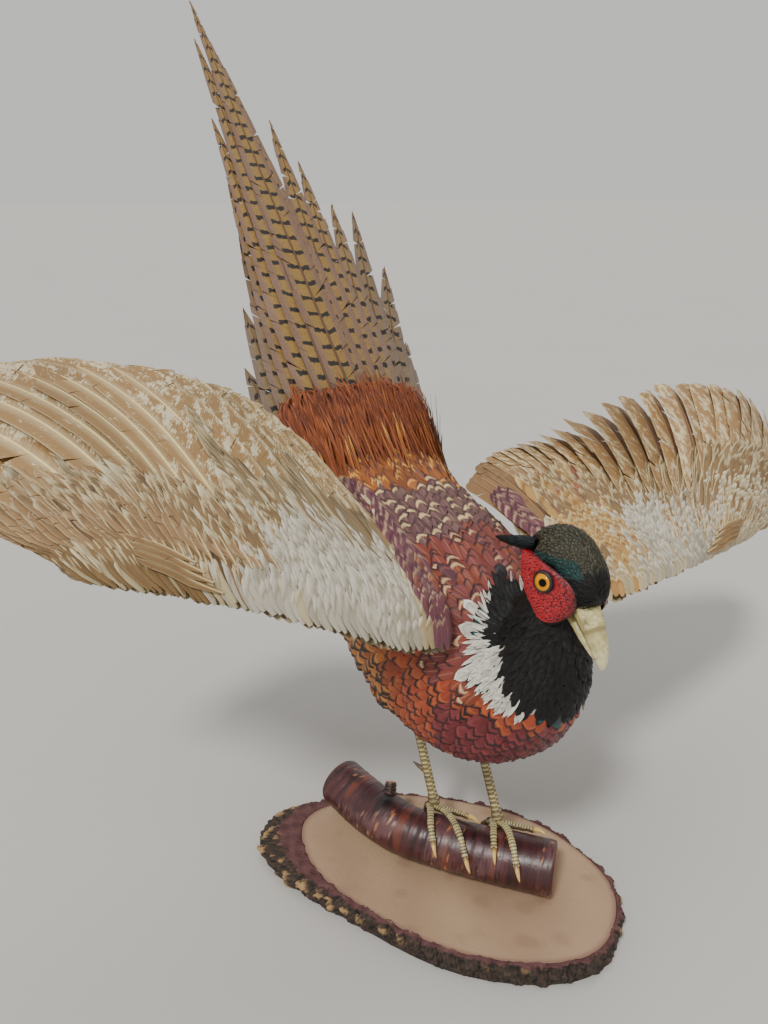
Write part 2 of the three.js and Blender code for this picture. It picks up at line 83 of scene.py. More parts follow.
def ripple(points, size, seed):  # smooth noise from -1 to 1, about size across
    waves = np.random.default_rng(seed)
    total = np.zeros(points.shape[:-1])
    for _ in range(9):
        way = unit(waves.normal(size=3))
        total += np.sin(points @ way * (2 * math.pi / size) * waves.uniform(0.6, 1.5) + waves.uniform(0, 6.3))
    return total / 4.2


def layered(colour, *coats):  # one tone after another over the first, each with its amount
    for code, amount in coats:
        colour = blendTone(colour, code, amount)
    return colour


def rounded(before, after, slopeIn, slopeOut, w):  # one stretch of a curve, by its ends and slopes
    return (before * (2 * w**3 - 3 * w**2 + 1) + slopeIn * (w**3 - 2 * w**2 + w)
            + after * (3 * w**2 - 2 * w**3) + slopeOut * (w**3 - w**2))


def withEnds(rows):  # one more row past each end
    rows = np.asarray(rows, float)
    return np.vstack([2 * rows[0] - rows[1], rows, 2 * rows[-1] - rows[-2]])


def throughRows(rows, t):  # a smooth function through evenly spaced rows of numbers
    place = np.clip(np.asarray(t, float), 0, 1) * (len(rows) - 1)
    i = np.minimum(place.astype(int), len(rows) - 2)
    wide = withEnds(rows)
    before, start, end, after = wide[i], wide[i + 1], wide[i + 2], wide[i + 3]
    return rounded(start, end, (end - before) / 2, (after - start) / 2, (place - i)[..., None])


def curveThrough(points, count=80):  # evenly spaced points along a rounded curve
    wide = withEnds(points)
    w = np.linspace(0, 1, 24, endpoint=False)[:, None]
    rows = []
    for a, b, c, d in zip(wide, wide[1:], wide[2:], wide[3:]):
        first, middle, last = (np.linalg.norm(q - p) ** 0.5 for p, q in ((a, b), (b, c), (c, d)))
        slopeIn = ((b - a) / first - (c - a) / (first + middle) + (c - b) / middle) * middle
        slopeOut = ((c - b) / middle - (d - b) / (middle + last) + (d - c) / last) * middle
        rows.append(rounded(b, c, slopeIn, slopeOut, w))
    return evenly(np.vstack([*rows, wide[-2:-1]]), count)


def distances(path):  # how far along a path each of its points lies
    return np.r_[0, np.cumsum(np.linalg.norm(np.diff(path, axis=0), axis=1))]


def readAt(rows, place, marks=None):  # rows of numbers read at places between them
    marks = np.arange(len(rows)) if marks is None else marks
    return np.stack([np.interp(place, marks, column) for column in rows.T], -1)


def evenly(points, count):
    steps = distances(points)
    return readAt(points, np.linspace(0, steps[-1], count), steps)


def framesAlong(path, upHint):  # ahead, side and up at each point of a path
    ahead = unit(np.gradient(path, axis=0))
    side = unit(np.cross(ahead, upHint))
    return ahead, side, np.cross(side, ahead)


def gridQuads(rows, columns, closed=False):
    quads = []
    for i in range(rows - 1):
        for j in range(columns if closed else columns - 1):
            k = (j + 1) % columns
            quads.append((i * columns + j, i * columns + k, (i + 1) * columns + k, (i + 1) * columns + j))
    return np.array(quads)


def around(count):  # angles evenly round a circle
    return np.linspace(0, 2 * math.pi, count, endpoint=False)


def roundEnd(t, start, run):  # 1, then falling in an arc to 0
    return np.sqrt(np.clip(1 - (np.maximum(t - start, 0) / run) ** 2, 0, 1))


def ringsRound(path, side, up, radius, turn, flat=1.0):
    return (path[:, None] + side[:, None] * (radius * np.cos(turn))[..., None]
            + up[:, None] * (flat * radius * np.sin(turn))[..., None])


def treeOf(points):
    tree = KDTree(len(points))
    for i, point in enumerate(points):
        tree.insert(point, i)
    tree.balance()
    return tree


def vertsOf(form):
    return np.array([v.co for v in form.verts]), np.array([v.normal for v in form.verts])


def linked(name, data):
    thing = bpy.data.objects.new(name, data)
    bpy.context.scene.collection.objects.link(thing)
    return thing


# A finished piece: its mesh, named maps and attributes, and its material.
def addPiece(name, form, material, slot, replaces=()):
    points, faces, maps, tones = form
    mesh = bpy.data.meshes.new(name)
    mesh.from_pydata(points, [], faces)
    corners = np.empty(len(mesh.loops), int)
    mesh.loops.foreach_get("vertex_index", corners)
    for key, values in maps.items():
        layer = mesh.uv_layers.new(name=key)
        layer.uv.foreach_set("vector", np.ascontiguousarray(values[corners], dtype=np.float32).ravel())
    for key, values in tones.items():
        layer = mesh.attributes.new(key, "FLOAT_COLOR", "POINT")
        full = np.ones((len(points), 4), np.float32)
        full[:, :values.shape[1]] = values
        layer.data.foreach_set("color", full.ravel())
    settle(name, mesh, material, slot, replaces)


def settle(name, mesh, material, slot, replaces):
    mesh.polygons.foreach_set("use_smooth", [True] * len(mesh.polygons))
    mesh.materials.append(material)
    mesh.update()
    piece = linked(name, mesh)
    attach(piece, "root")
    if replaces:
        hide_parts(*replaces)


def addFromBmesh(name, form, material, slot, replaces=()):
    mesh = bpy.data.meshes.new(name)
    form.to_mesh(mesh)
    form.free()
    settle(name, mesh, material, slot, replaces)


class Term:  # what a node gives, for use in plain sums
    def __init__(self, recipe, socket):
        self.recipe = recipe
        self.socket = socket

    def __rsub__(self, other):
        return self.recipe.calc("SUBTRACT", other, self)

    def __abs__(self):
        return self.recipe.calc("ABSOLUTE", self)


for sign, operation in (("add", "ADD"), ("mul", "MULTIPLY"), ("sub", "SUBTRACT"), ("pow", "POWER")):
    setattr(Term, f"__{sign}__", lambda self, other, kind=operation: self.recipe.calc(kind, self, other))


class Recipe:  # builds one node material with short calls
    def __init__(self, name, **settings):
        self.material = bpy.data.materials.new(name)
        self.material.use_nodes = True
        self.tree = self.material.node_tree
        self.skin = self.tree.nodes["Principled BSDF"]
        for key, value in settings.items():
            self.skin.inputs[key.replace("_", " ")].default_value = value

    def feed(self, socket, value):
        if isinstance(value, Term):
            self.tree.links.new(value.socket, socket)
        else:
            socket.default_value = (*value, 1) if socket.type == "RGBA" else value

    def put(self, kind, inputs, output=0, **settings):
        node = self.tree.nodes.new("ShaderNode" + kind)
        for key, value in settings.items():
            setattr(node, key, value)
        for key, value in inputs.items():
            self.feed(node.inputs[key], value)
        return Term(self, node.outputs[output])

    def calc(self, operation, *values):
        return self.put("Math", dict(enumerate(values)), operation=operation)

    def mix(self, amount, first, second):
        return self.put("Mix", {0: amount, 6: first, 7: second}, 2, data_type="RGBA")

    def ranged(self, value, low, high):  # 0 at low, 1 at high
        return self.put("MapRange", {"Value": value, "From Min": low, "From Max": high})

    def bright(self, colour, value):
        return self.put("HueSaturation", {"Color": colour, "Value": value})

    def ramp(self, value, *stops):
        result = self.put("ValToRGB", {"Fac": value})
        band = result.socket.node.color_ramp
        while len(band.elements) < len(stops):
            band.elements.new(0.5)
        for element, (place, colour) in zip(band.elements, stops):
            element.position = place
            element.color = (*tone(colour), 1)
        return result

    def noise(self, scale, detail=3, vector=None, rough=0.5, stretch=None):
        vector = vector or self.place()
        if stretch:
            vector = self.put("Mapping", {"Vector": vector, "Scale": stretch})
        return self.put("TexNoise", {"Vector": vector, "Scale": scale, "Detail": detail, "Roughness": rough})

    def place(self):
        return self.put("TexCoord", {}, "Object")

    def tint(self, key):
        colour = self.put("Attribute", {}, "Color", attribute_name=key)
        return colour, Term(self, colour.socket.node.outputs["Alpha"])

    def vane(self):  # the feather's own map: across from -1 to 1, and along
        across = self.put("SeparateXYZ", {0: self.put("UVMap", {}, uv_map="Vane")})
        return across * 2.0 - 1.0, Term(self, across.socket.node.outputs[1])

    def paint(self, colour, bump=None, strength=0.5, distance=0.0005):
        self.feed(self.skin.inputs["Base Color"], colour)
        if bump:
            bumps = self.put("Bump", {"Height": bump, "Strength": strength, "Distance": distance})
            self.feed(self.skin.inputs["Normal"], bumps)
        return self.material


# Small feathers: a tone, an edge tone near the tip, a paler or darker mark inside, and barb lines.
def smallFeatherMaterial(name, bend=(2.0, 0.22), **settings):
    recipe = Recipe(name, **settings)
    across, along = recipe.vane()
    base, edgeWidth = recipe.tint("base")
    edge, markSize = recipe.tint("edge")
    mark, shade = recipe.tint("mark")
    flank = abs(across)
    grit = recipe.noise(900, 2)
    reach = flank ** bend[0] * bend[1] + along + grit * 0.16 - 0.08
    start = 1 - edgeWidth
    ring = 1 - abs(reach - start + 0.14) * 10
    ring = recipe.calc("MINIMUM", recipe.calc("MAXIMUM", ring, 0.0) * markSize * 3.4, 1.0)
    lines = recipe.calc("SINE", (flank * -0.45 + along) * 163.28 + grit * 5)
    colour = recipe.mix(ring, base, mark)
    colour = recipe.mix(recipe.ranged(reach, start - 0.06, start + 0.06), colour, edge)
    colour = recipe.mix((lines * 0.5 + 0.5) * 0.22, colour, (0, 0, 0))
    colour = recipe.mix(recipe.calc("LESS_THAN", flank, 0.05) * 0.25, colour, mark)
    return recipe.paint(recipe.bright(colour, shade), lines, 0.35, 0.00025)


# Long quills: the pattern is laid in the feather's own map, along in tenths of a metre.
def quillBase(name, rough):
    recipe = Recipe(name, Roughness=rough)
    across, along = recipe.vane()
    flank = abs(across)
    edge, amount = recipe.tint("edge")
    slanted = recipe.put("CombineXYZ", {0: across, 1: flank * -0.055 + along, 2: amount})
    fine = recipe.noise(1.0, 2, slanted, stretch=(2, 160, 40))
    tones = (*recipe.tint("base"), edge, amount, *recipe.tint("mark"))
    return recipe, across, along, flank, slanted, fine, *tones


def tailMaterial():
    recipe, across, along, flank, slanted, fine, base, isVane, edge, chance, dark, shade = quillBase(
        "tailFeather", 0.6)
    speck = recipe.noise(1.0, 2, slanted, stretch=(16, 60, 30))
    wobble = recipe.noise(1.0, 3, slanted, stretch=(3, 14, 9)) * 0.34 - 0.17
    slip = recipe.calc("GREATER_THAN", across, 0.0) * 0.1
    phase = recipe.calc("FRACT", along * 6.4 + chance * 5 + wobble + flank * 0.6 + slip)
    width = speck * 0.1 + flank * 0.07 + 0.045
    frayed = flank + wobble
    bar = recipe.ranged(abs(phase - 0.5), width + 0.03, width) * recipe.ranged(frayed, 0.64, 0.56)
    colour = recipe.mix(recipe.ranged(frayed, 0.45, 0.8) * isVane, base, edge)
    colour = recipe.mix(recipe.ranged(speck, 0.42, 0.68) * isVane * 0.5, colour, dark)
    colour = recipe.mix(bar * isVane, colour, (0.012, 0.009, 0.007))
    return recipe.paint(recipe.bright(colour, (fine * 0.5 + 0.74) * shade), fine)


def flightMaterial():
    recipe, across, _, flank, slanted, fine, base, isVane, edge, amount, pale, shade = quillBase(
        "flightFeather", 0.62)
    inner = recipe.ranged(across, -0.02, 0.2)
    cloud = recipe.noise(1.0, 4, slanted, 0.6, (3.0, 10, 23))
    crumbs = recipe.noise(1.0, 3, slanted, 0.7, (8, 75, 31))
    height = crumbs * 0.85 + cloud * 1.25 + amount * 0.5 + inner * 0.17
    colour = recipe.mix(recipe.ranged(height, 1.49, 1.6) * isVane * 0.9, base, pale)
    stripe = recipe.ranged(across, -0.5, -0.1) * (1 - inner) * isVane * amount * 0.75
    colour = recipe.mix(stripe, colour, edge)
    colour = recipe.mix(recipe.ranged(flank, 0.86, 1.0) * isVane * 0.4, colour, edge)
    return recipe.paint(recipe.bright(colour, (fine * 0.5 + 0.75) * shade), fine, 0.45)


bakePatch = 0.003


# Many small feathers in one mesh. lie holds root, middle, tip and their up directions, width and rise.
def leafFeathers(lie, look, rows=7, columns=5, pointed=0.0, ragged=0.04, camber=0.28):
    along = np.linspace(0, 1, rows) ** 0.8
    across = np.linspace(-1, 1, columns)
    count = len(lie["root"])
    spots = (2 * (along - 0.5) * (along - 1), 4 * along * (1 - along), 2 * along * (along - 0.5))
    ways = (4 * along - 3, 4 - 8 * along, 4 * along - 1)

    def weigh(keys, weights):
        return sum(w[None, :, None] * lie[key][:, None] for key, w in zip(keys, weights))

    spine = weigh(("root", "middle", "tip"), spots)
    ahead = weigh(("root", "middle", "tip"), ways)
    up = unit(weigh(("upRoot", "upMiddle", "upTip"), spots))
    side = unit(np.cross(ahead, up))
    swell = np.minimum(1, 0.3 + 0.7 * np.sin(np.minimum(along / 0.5, 1) * math.pi / 2))
    taper = roundEnd(along, 0.5, 0.5) ** (1 + pointed)
    half = lie["width"][:, None] / 2 * (swell * taper + 0.02)[None]
    spread = half[:, :, None] * across[None, None]
    rise = lie["rise"][:, 0:1] + (lie["rise"][:, 1:2] - lie["rise"][:, 0:1]) * along[None] ** 1.1
    lift = rise[:, :, None] - camber * half[:, :, None] * across**2 + lie["roll"][:, None, None] * spread
    points = spine[:, :, None] + side[:, :, None] * spread[..., None] + up[:, :, None] * lift[..., None]
    tear = dice.normal(size=points.shape[:3]) * ragged * (along**3)[None, :, None]
    points = points + ahead[:, :, None] * tear[..., None]
    faces = gridQuads(rows, columns)[None] + np.arange(count)[:, None, None] * rows * columns
    grid = np.stack(np.broadcast_arrays(across[None, None] / 2 + 0.5, along[None, :, None]), -1)
    grid = np.broadcast_to(grid, (count, rows, columns, 2))
    bake = look["bake"][:, None, None] + (grid - 0.5) * bakePatch
    pairs = (("base", "edgeWidth"), ("edge", "markSize"), ("mark", "shade"))
    tones = {key: np.repeat(np.c_[look[key], look[extra]], rows * columns, axis=0) for key, extra in pairs}
    maps = {"Vane": grid.reshape(-1, 2), "OFBake": bake.reshape(-1, 2)}
    return points.reshape(-1, 3), faces.reshape(-1, 4), maps, tones


# A long feather: barbs in small groups down both sides of a tapering shaft.
def quill(path, up, widths, lean=0.5, groups=(4, 9), gap=0.0012, columns=(0, 0.3, 0.6, 0.85, 1.0),
          shaftRadius=0.0009, droop=0.1, roll=0.0, inner=1, bow=None):
    ahead, side, top = framesAlong(path, up)
    count = len(path)
    reach = np.linspace(0, 1, count)
    bow = np.zeros(count) if bow is None else bow
    points, faces, vane, flags, strip = [], [], [], [], []
    total = 0
    q = np.array(columns)[None, :, None]
    for sign, width in zip((1, -1), widths):
        start = 0
        while start < count - 1:
            stop = min(count - 1, start + int(dice.integers(*groups)))
            line, beside, onward, above, w, along, arch = (
                values[start:stop + 1, None] for values in
                (path, side, ahead, top, width[:, None], reach[:, None], bow[:, None]))
            slide, hop = dice.normal(0, gap), dice.normal(0, gap * 0.35)
            across = q * w
            grid = (line + beside * sign * across + onward * (across * lean * (1 - along**5) + slide * q**2)
                    + above * (hop * q**2 - droop * q * across + sign * roll * across + arch * across**2))
            rows = stop - start + 1
            quads = gridQuads(rows, len(columns)) + total
            faces.append(quads if sign < 0 else quads[:, ::-1])
            points.append(grid.reshape(-1, 3))
            place = np.broadcast_arrays(0.5 + 0.5 * sign * inner * q[..., 0], along[..., 0])
            vane.append(np.stack(place, -1).reshape(-1, 2))
            flags.append(np.ones(rows * len(columns)))
            strip.append(0.03 + 0.84 * place[0].ravel())
            total += rows * len(columns)
            start = stop
    ring = around(5)
    held = np.unique(np.r_[np.arange(0, count - 1, 2), count - 1])
    radius = shaftRadius * (1 - reach[held]) ** 0.7 + 0.00012
    points.append(ringsRound(path[held], side[held], top[held], radius[:, None], ring).reshape(-1, 3))
    faces.append(gridQuads(len(held), 5, closed=True) + total)
    vane.append(np.c_[np.full(5 * len(held), 0.5), np.repeat(reach[held], 5)])
    flags.append(np.zeros(5 * len(held)))
    strip.append(np.tile(0.91 + 0.06 * np.array([0, 0.5, 1, 1, 0.5]), len(held)))
    return {"points": np.vstack(points), "faces": np.vstack(faces), "vane": np.vstack(vane),
            "isVane": np.concatenate(flags), "strip": np.concatenate(strip), "length": distances(path)[-1]}


def painted(one, base, edge, mark, shaft, chance, shade):  # tones of a quill
    return one | {"base": tone(base), "edge": tone(edge), "mark": tone(mark), "shaft": tone(shaft),
                  "chance": chance, "shade": shade}


# Joins quills into one piece. Each quill has base, edge, mark and shaft tones and its own strip for baking.
def joinQuills(quills):
    table = {key: [] for key in ("points", "faces", "vane", "bake", "base", "edge", "mark")}
    total = 0
    for i, one in enumerate(quills):
        flag = one["isVane"][:, None]
        row = {"points": one["points"], "faces": one["faces"] + total,
               "vane": one["vane"] * (1, one["length"] * 10),
               "bake": np.stack([(i + one["strip"]) / len(quills), one["vane"][:, 1]], -1),
               "base": np.hstack([one["base"] * flag + one["shaft"] * (1 - flag), flag])}
        for key, extra in (("edge", "chance"), ("mark", "shade")):
            row[key] = np.tile(np.r_[one[key], one[extra]], (len(flag), 1))
        for key, values in row.items():
            table[key].append(values)
        total += len(one["points"])
    points, faces, vane, bake, base, edge, mark = (np.vstack(rows) for rows in table.values())
    return points, faces, {"Vane": vane, "OFBake": bake}, {"base": base, "edge": edge, "mark": mark}


# The camera comes first, so that every stage can be looked at.
def addCamera():
    look = {"place": (-0.2578, -0.3546, 0.458), "down": 21.6, "turn": -30.0, "lens": 28.65, "sensor": 36}
    data = bpy.data.cameras.new("camera")
    data.lens = look["lens"]
    data.sensor_width = look["sensor"]
    camera = linked("camera", data)
    camera.location = look["place"]
    camera.rotation_euler = (math.radians(90 - look["down"]), 0, math.radians(look["turn"]))
    bpy.context.scene.camera = camera


addCamera()

# The bird's skin: its flesh solids made one, rounded, and drawn in by the depth of the coat.
bodyForm = {"swell": 0.0009, "grain": 0.0022, "rounds": 10, "coat": 0.003, "headCoat": 0.0012,
            "neckCoat": 0.0022, "crease": (0.096, 0.142), "creaseRounds": 30}
headPlace = np.array([18.2, -70.4, 268.5]) * mm
headAhead = unit(np.array([-0.12, -0.99, 0.046]))
headSide = unit(np.cross(headAhead, (0, 0, 1)))
headUp = np.cross(headSide, headAhead)
thighLines = {"right": ((-14, 40, 156), (1, 52, 118)), "left": ((54, 10, 154), (31, 21, 118))}


def inHead(points):  # side, ahead and up of the head's middle
    return (points - headPlace) @ np.stack([headSide, headAhead, headUp], 1)


def fromHead(places):
    return headPlace + np.asarray(places) @ np.stack([headSide, headAhead, headUp])


def merge(form, part):
    copy = bpy.data.meshes.new("copy")
    part.to_mesh(copy)
    part.free()
    form.from_mesh(copy)
    bpy.data.meshes.remove(copy)


def mergedCopy(*nodes, swell=0.0):
    form = bmesh.new()
    for node in nodes:
        part = bmesh.new()
        part.from_mesh(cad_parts[node].data)
        bmesh.ops.remove_doubles(part, verts=part.verts, dist=1e-5)
        part.normal_update()
        for v in part.verts:
            v.co += v.normal * swell
        merge(form, part)
    return form


def relax(form, verts, rounds):
    axes = {"use_axis_" + axis: True for axis in "xyz"}
    for _ in range(rounds):
        bmesh.ops.smooth_vert(form, verts=verts, factor=0.5, **axes)


def remeshed(form, grain, rounds):
    mesh = bpy.data.meshes.new("rough")
    form.to_mesh(mesh)
    form.free()
    rough = linked("rough", mesh)
    modifier = rough.modifiers.new("remesh", "REMESH")
    modifier.mode = "VOXEL"
    modifier.voxel_size = grain
    held = rough.evaluated_get(bpy.context.evaluated_depsgraph_get())
    result = bmesh.new()
    result.from_mesh(bpy.data.meshes.new_from_object(held).copy())
    bpy.data.objects.remove(rough)
    relax(result, result.verts, rounds)
    result.normal_update()
    return result


def drawIn(form):
    spots, normals = vertsOf(form)
    head = smooth(0.243, 0.256, spots[:, 2]) * smooth(-0.03, -0.045, spots[:, 1])
    neck = smooth(0.16, 0.19, spots[:, 2]) * smooth(-0.015, -0.035, spots[:, 1])
    depth = bodyForm["coat"] * (1 - neck) + bodyForm["neckCoat"] * neck
    depth = depth * (1 - head) + bodyForm["headCoat"] * head + bodyForm["swell"]
    depth = depth * (1 - 0.9 * smooth(0.12, 0.145, spots[:, 1]))  # thin towards the tail
    for vert, spot in zip(form.verts, spots - normals * depth[:, None]):
        vert.co = spot
    relax(form, form.verts, 2)
    start, end = bodyForm["crease"]  # before the tail coverts
    relax(form, [v for v in form.verts if start < v.co.y < end], bodyForm["creaseRounds"])
    form.normal_update()


fleshNodes = ("trunk", "neck", "head", "leg_right_thigh", "leg_left_thigh", "tail_coverts")
shell = remeshed(mergedCopy(*fleshNodes, swell=bodyForm["swell"]), bodyForm["grain"], bodyForm["rounds"])
drawIn(shell)
shellTree = BVHTree.FromBMesh(shell)
print("shell", len(shell.verts))

# The lie of the coat follows these lines, from the bill to the tail and down each thigh.
coatLine = np.array([(15.6, -93, 262), (18.2, -72, 268), (18.5, -60, 262), (17, -57, 242), (17, -57, 216),
                     (17.5, -48, 190), (19, -26, 176), (22, 8, 177), (22, 44, 190), (22, 78, 215),
                     (22, 108, 240), (22, 136, 262), (22, 162, 284), (22, 190, 312)]) * mm
coatWays = np.gradient(coatLine, axis=0)
spineCount = len(coatLine)  # from bill to tail; the lines of the nape and thighs follow
napeLine = np.array([(18, -40, 250), (18, -28, 236), (19, -10, 231), (22, 20, 234), (22, 60, 245)]) * mm
coatLine = np.vstack([coatLine, napeLine])
coatWays = np.vstack([coatWays, np.gradient(napeLine, axis=0)])
for top, hock in thighLines.values():
    line = np.linspace(np.array(top) * mm, np.array(hock) * mm, 6)[1:]
    coatLine = np.vstack([coatLine, line])
    coatWays = np.vstack([coatWays, np.gradient(line, axis=0)])
coatWays = unit(coatWays)


def square(ways, normals):  # the part of each way that runs along the surface
    return ways - (ways * normals).sum(1, keepdims=True) * normals


def nearLine(points, line):  # how much each point of a line counts at each point
    return 1 / (np.linalg.norm(points[:, None] - line[None], axis=2) + 0.004) ** 5


# Which way the coat runs at each vertex of the shell, evened out with its neighbours.
def coatFlow(rounds=40):
    spots, normals = vertsOf(shell)
    weight = nearLine(spots, coatLine)
    raw = square((weight[..., None] * coatWays[None]).sum(1) / weight.sum(1, keepdims=True), normals)
    ends = np.array([[v.index for v in edge.verts] for edge in shell.edges])
    share = np.bincount(ends.ravel(), minlength=len(spots))[:, None]
    ways = raw
    for _ in range(rounds):
        nearby = np.stack([np.bincount(ends[:, 0], ways[ends[:, 1], k], len(spots))
                           + np.bincount(ends[:, 1], ways[ends[:, 0], k], len(spots)) for k in range(3)], 1)
        ways = square(0.3 * raw + 0.7 * nearby / share, normals)
    return treeOf(spots), ways


flowTree, flowWays = coatFlow()


def lieAt(points, normals):
    return unit(square(flowWays[[flowTree.find(p)[1] for p in points]], normals))


tailWay = unit(np.array([0.0, 0.7, 0.716]))


def nearest(tree, points):
    found = [tree.find_nearest(Vector(p)) for p in points]
    return np.array([f[0] for f in found]), np.array([f[1] for f in found])


# Roots spread over a mesh, spaced as asked: random spots, thinned out where they are too close.
def scatter(form, spacingAt, keepAt, density=2.6):
    bmesh.ops.triangulate(form, faces=form.faces)
    spots = vertsOf(form)[0]
    corners = np.array([[v.index for v in face.verts] for face in form.faces])
    a, b, c = (spots[corners[:, k]] for k in range(3))
    cross = np.cross(b - a, c - a)
    area = np.linalg.norm(cross, axis=1) / 2
    middle = (a + b + c) / 3
    wanted = area / spacingAt(middle) ** 2 * density * keepAt(middle)
    count = np.floor(wanted + dice.random(len(wanted))).astype(int)
    pick = np.repeat(np.arange(len(area)), count)
    u, v = dice.random((2, len(pick)))
    flip = u + v > 1
    u[flip], v[flip] = 1 - u[flip], 1 - v[flip]
    points = a[pick] + (b - a)[pick] * u[:, None] + (c - a)[pick] * v[:, None]
    points = points[dice.permutation(len(points))]
    spacing = spacingAt(points)
    tree = treeOf(points)
    alive = np.ones(len(points), bool)
    chosen = []
    for i in range(len(points)):
        if alive[i]:
            chosen.append(i)
            for _, j, _ in tree.find_range(points[i], spacing[i]):
                alive[j] = False
    return points[chosen]


# Lays feathers from their roots along the coat. Where the skin falls away they run on free.
def layDown(roots, normals, length, width, rise, sway=0.12, free=0.35, bold=False):
    way = lieAt(roots, normals)
    if bold:  # long strands run straight for the tail
        way = unit(tailWay - 0.8 * np.minimum(normals @ tailWay, 0)[:, None] * normals)
    turn = dice.normal(0, sway, len(roots))[:, None]
    way = unit(way * np.cos(turn) + np.cross(normals, way) * np.sin(turn))
    half = (length / 2)[:, None]
    lie = {"root": roots, "upRoot": normals}
    spot, up = roots, normals
    for place in ("Middle", "Tip"):
        goal = spot + way * half
        held, heldUp = nearest(shellTree, goal)
        outward = ((goal - held) * heldUp).sum(1, keepdims=True) / half
        if bold:
            spot = np.where(outward < 0, held + 0.0004 * heldUp, goal)
        else:
            loose = smooth(0.2, free + 0.35, outward)
            up = unit(heldUp * (1 - loose) + up * loose)
            spot = held * (1 - loose) + goal * loose
            way = unit(square(way, up))
        lie |= {place.lower(): spot, "up" + place: up}
    return lie | {"width": width, "rise": rise, "roll": dice.normal(0, 0.1, len(roots))}


def mapPlaces(points):  # where a root lies on the skin unrolled: round it and along it
    weight = nearLine(points, coatLine[:spineCount])
    along = (weight * np.arange(spineCount)[None]).sum(1) / weight.sum(1)
    way = readAt(coatWays[:spineCount], along)
    right = unit(np.cross(way, np.where(np.abs(way[:, 2:]) > 0.8, (0, 1.0, 0), (0, 0, 1.0))))
    up = np.cross(right, way)
    out = points - readAt(coatLine[:spineCount], along)
    turn = np.arctan2((out * right).sum(1), (out * up).sum(1)) / (2 * math.pi) + 0.5
    return 0.01 + 0.98 * np.stack([turn, along / (spineCount - 1)], 1)


# Tones of the coat, area by area: two body tones, tip tone and its depth, inner mark tone and its strength.
coatTones = {
    "copper": ("94361a", "aa4c20", "150a08", 0.15, "b8642f", 0.25),
    "burgundy": ("641a1b", "7c2a2c", "220a0d", 0.13, "8c3a3c", 0.25),
    "flank": ("ac5718", "c27426", "120b0a", 0.24, "d89a4c", 0.3),
    "belly": ("2c1a13", "40261a", "120c0a", 0.15, "54301c", 0.2),
    "vent": ("6b3418", "80461f", "4a2412", 0.12, "9a5c30", 0.2),
    "mantle": ("8c3c20", "7c3636", "3a1616", 0.12, "d8b488", 0.5),
    "back": ("684044", "74504a", "4a2e32", 0.1, "dcc086", 1.0),
    "rump": ("8a4a1e", "a65c1c", "5c3436", 0.12, "dc9c3e", 1.0),
    "fox": ("7c3610", "944a16", "66290c", 0.1, "b4622a", 0.25),
    "ring": ("e6e2d6", "cfcabb", "f0ede4", 0.1, "bcb6a6", 0.2),
    "neck": ("060606", "0d0b0b", "0b0a0c", 0.2, "171312", 0.3),
    "green": ("0f2a2a", "184442", "0a1616", 0.15, "2a5c54", 0.4),
    "crown": ("2b2a1e", "434030", "17160f", 0.2, "625e4a", 0.4),
    "plum": ("5a2c3a", "6c3a44", "3c1c26", 0.12, "a0604c", 0.3),
}
areaNames = list(coatTones)

# The dark neck's lower edge and the white ring's: place from front to back and the height of each, in mm.
neckLine = np.array([(-95, 192, 192), (-78, 191, 191.5), (-72, 195, 193), (-68, 200, 195), (-61, 206, 195.5),
                     (-57, 210, 197), (-48, 220.5, 200), (-38, 219, 203), (-28, 213, 206), (-10, 213, 206)])
napeForm = {"middle": 22, "back": -6, "slope": 1.2, "share": 0.64, "ring": 7}


def belowNeck(points, column=1):  # how far below the edge a point lies, or behind it on the nape, in mm
    x, y, z = points.T / mm
    aside = np.abs(x - napeForm["middle"])
    behind = napeForm["share"] * (y - napeForm["back"] + napeForm["slope"] * aside)
    if column == 2:
        behind = behind - napeForm["ring"] * smooth(6, 26, aside)
    return np.maximum(np.interp(y, neckLine[:, 0], neckLine[:, column]) - z, behind)


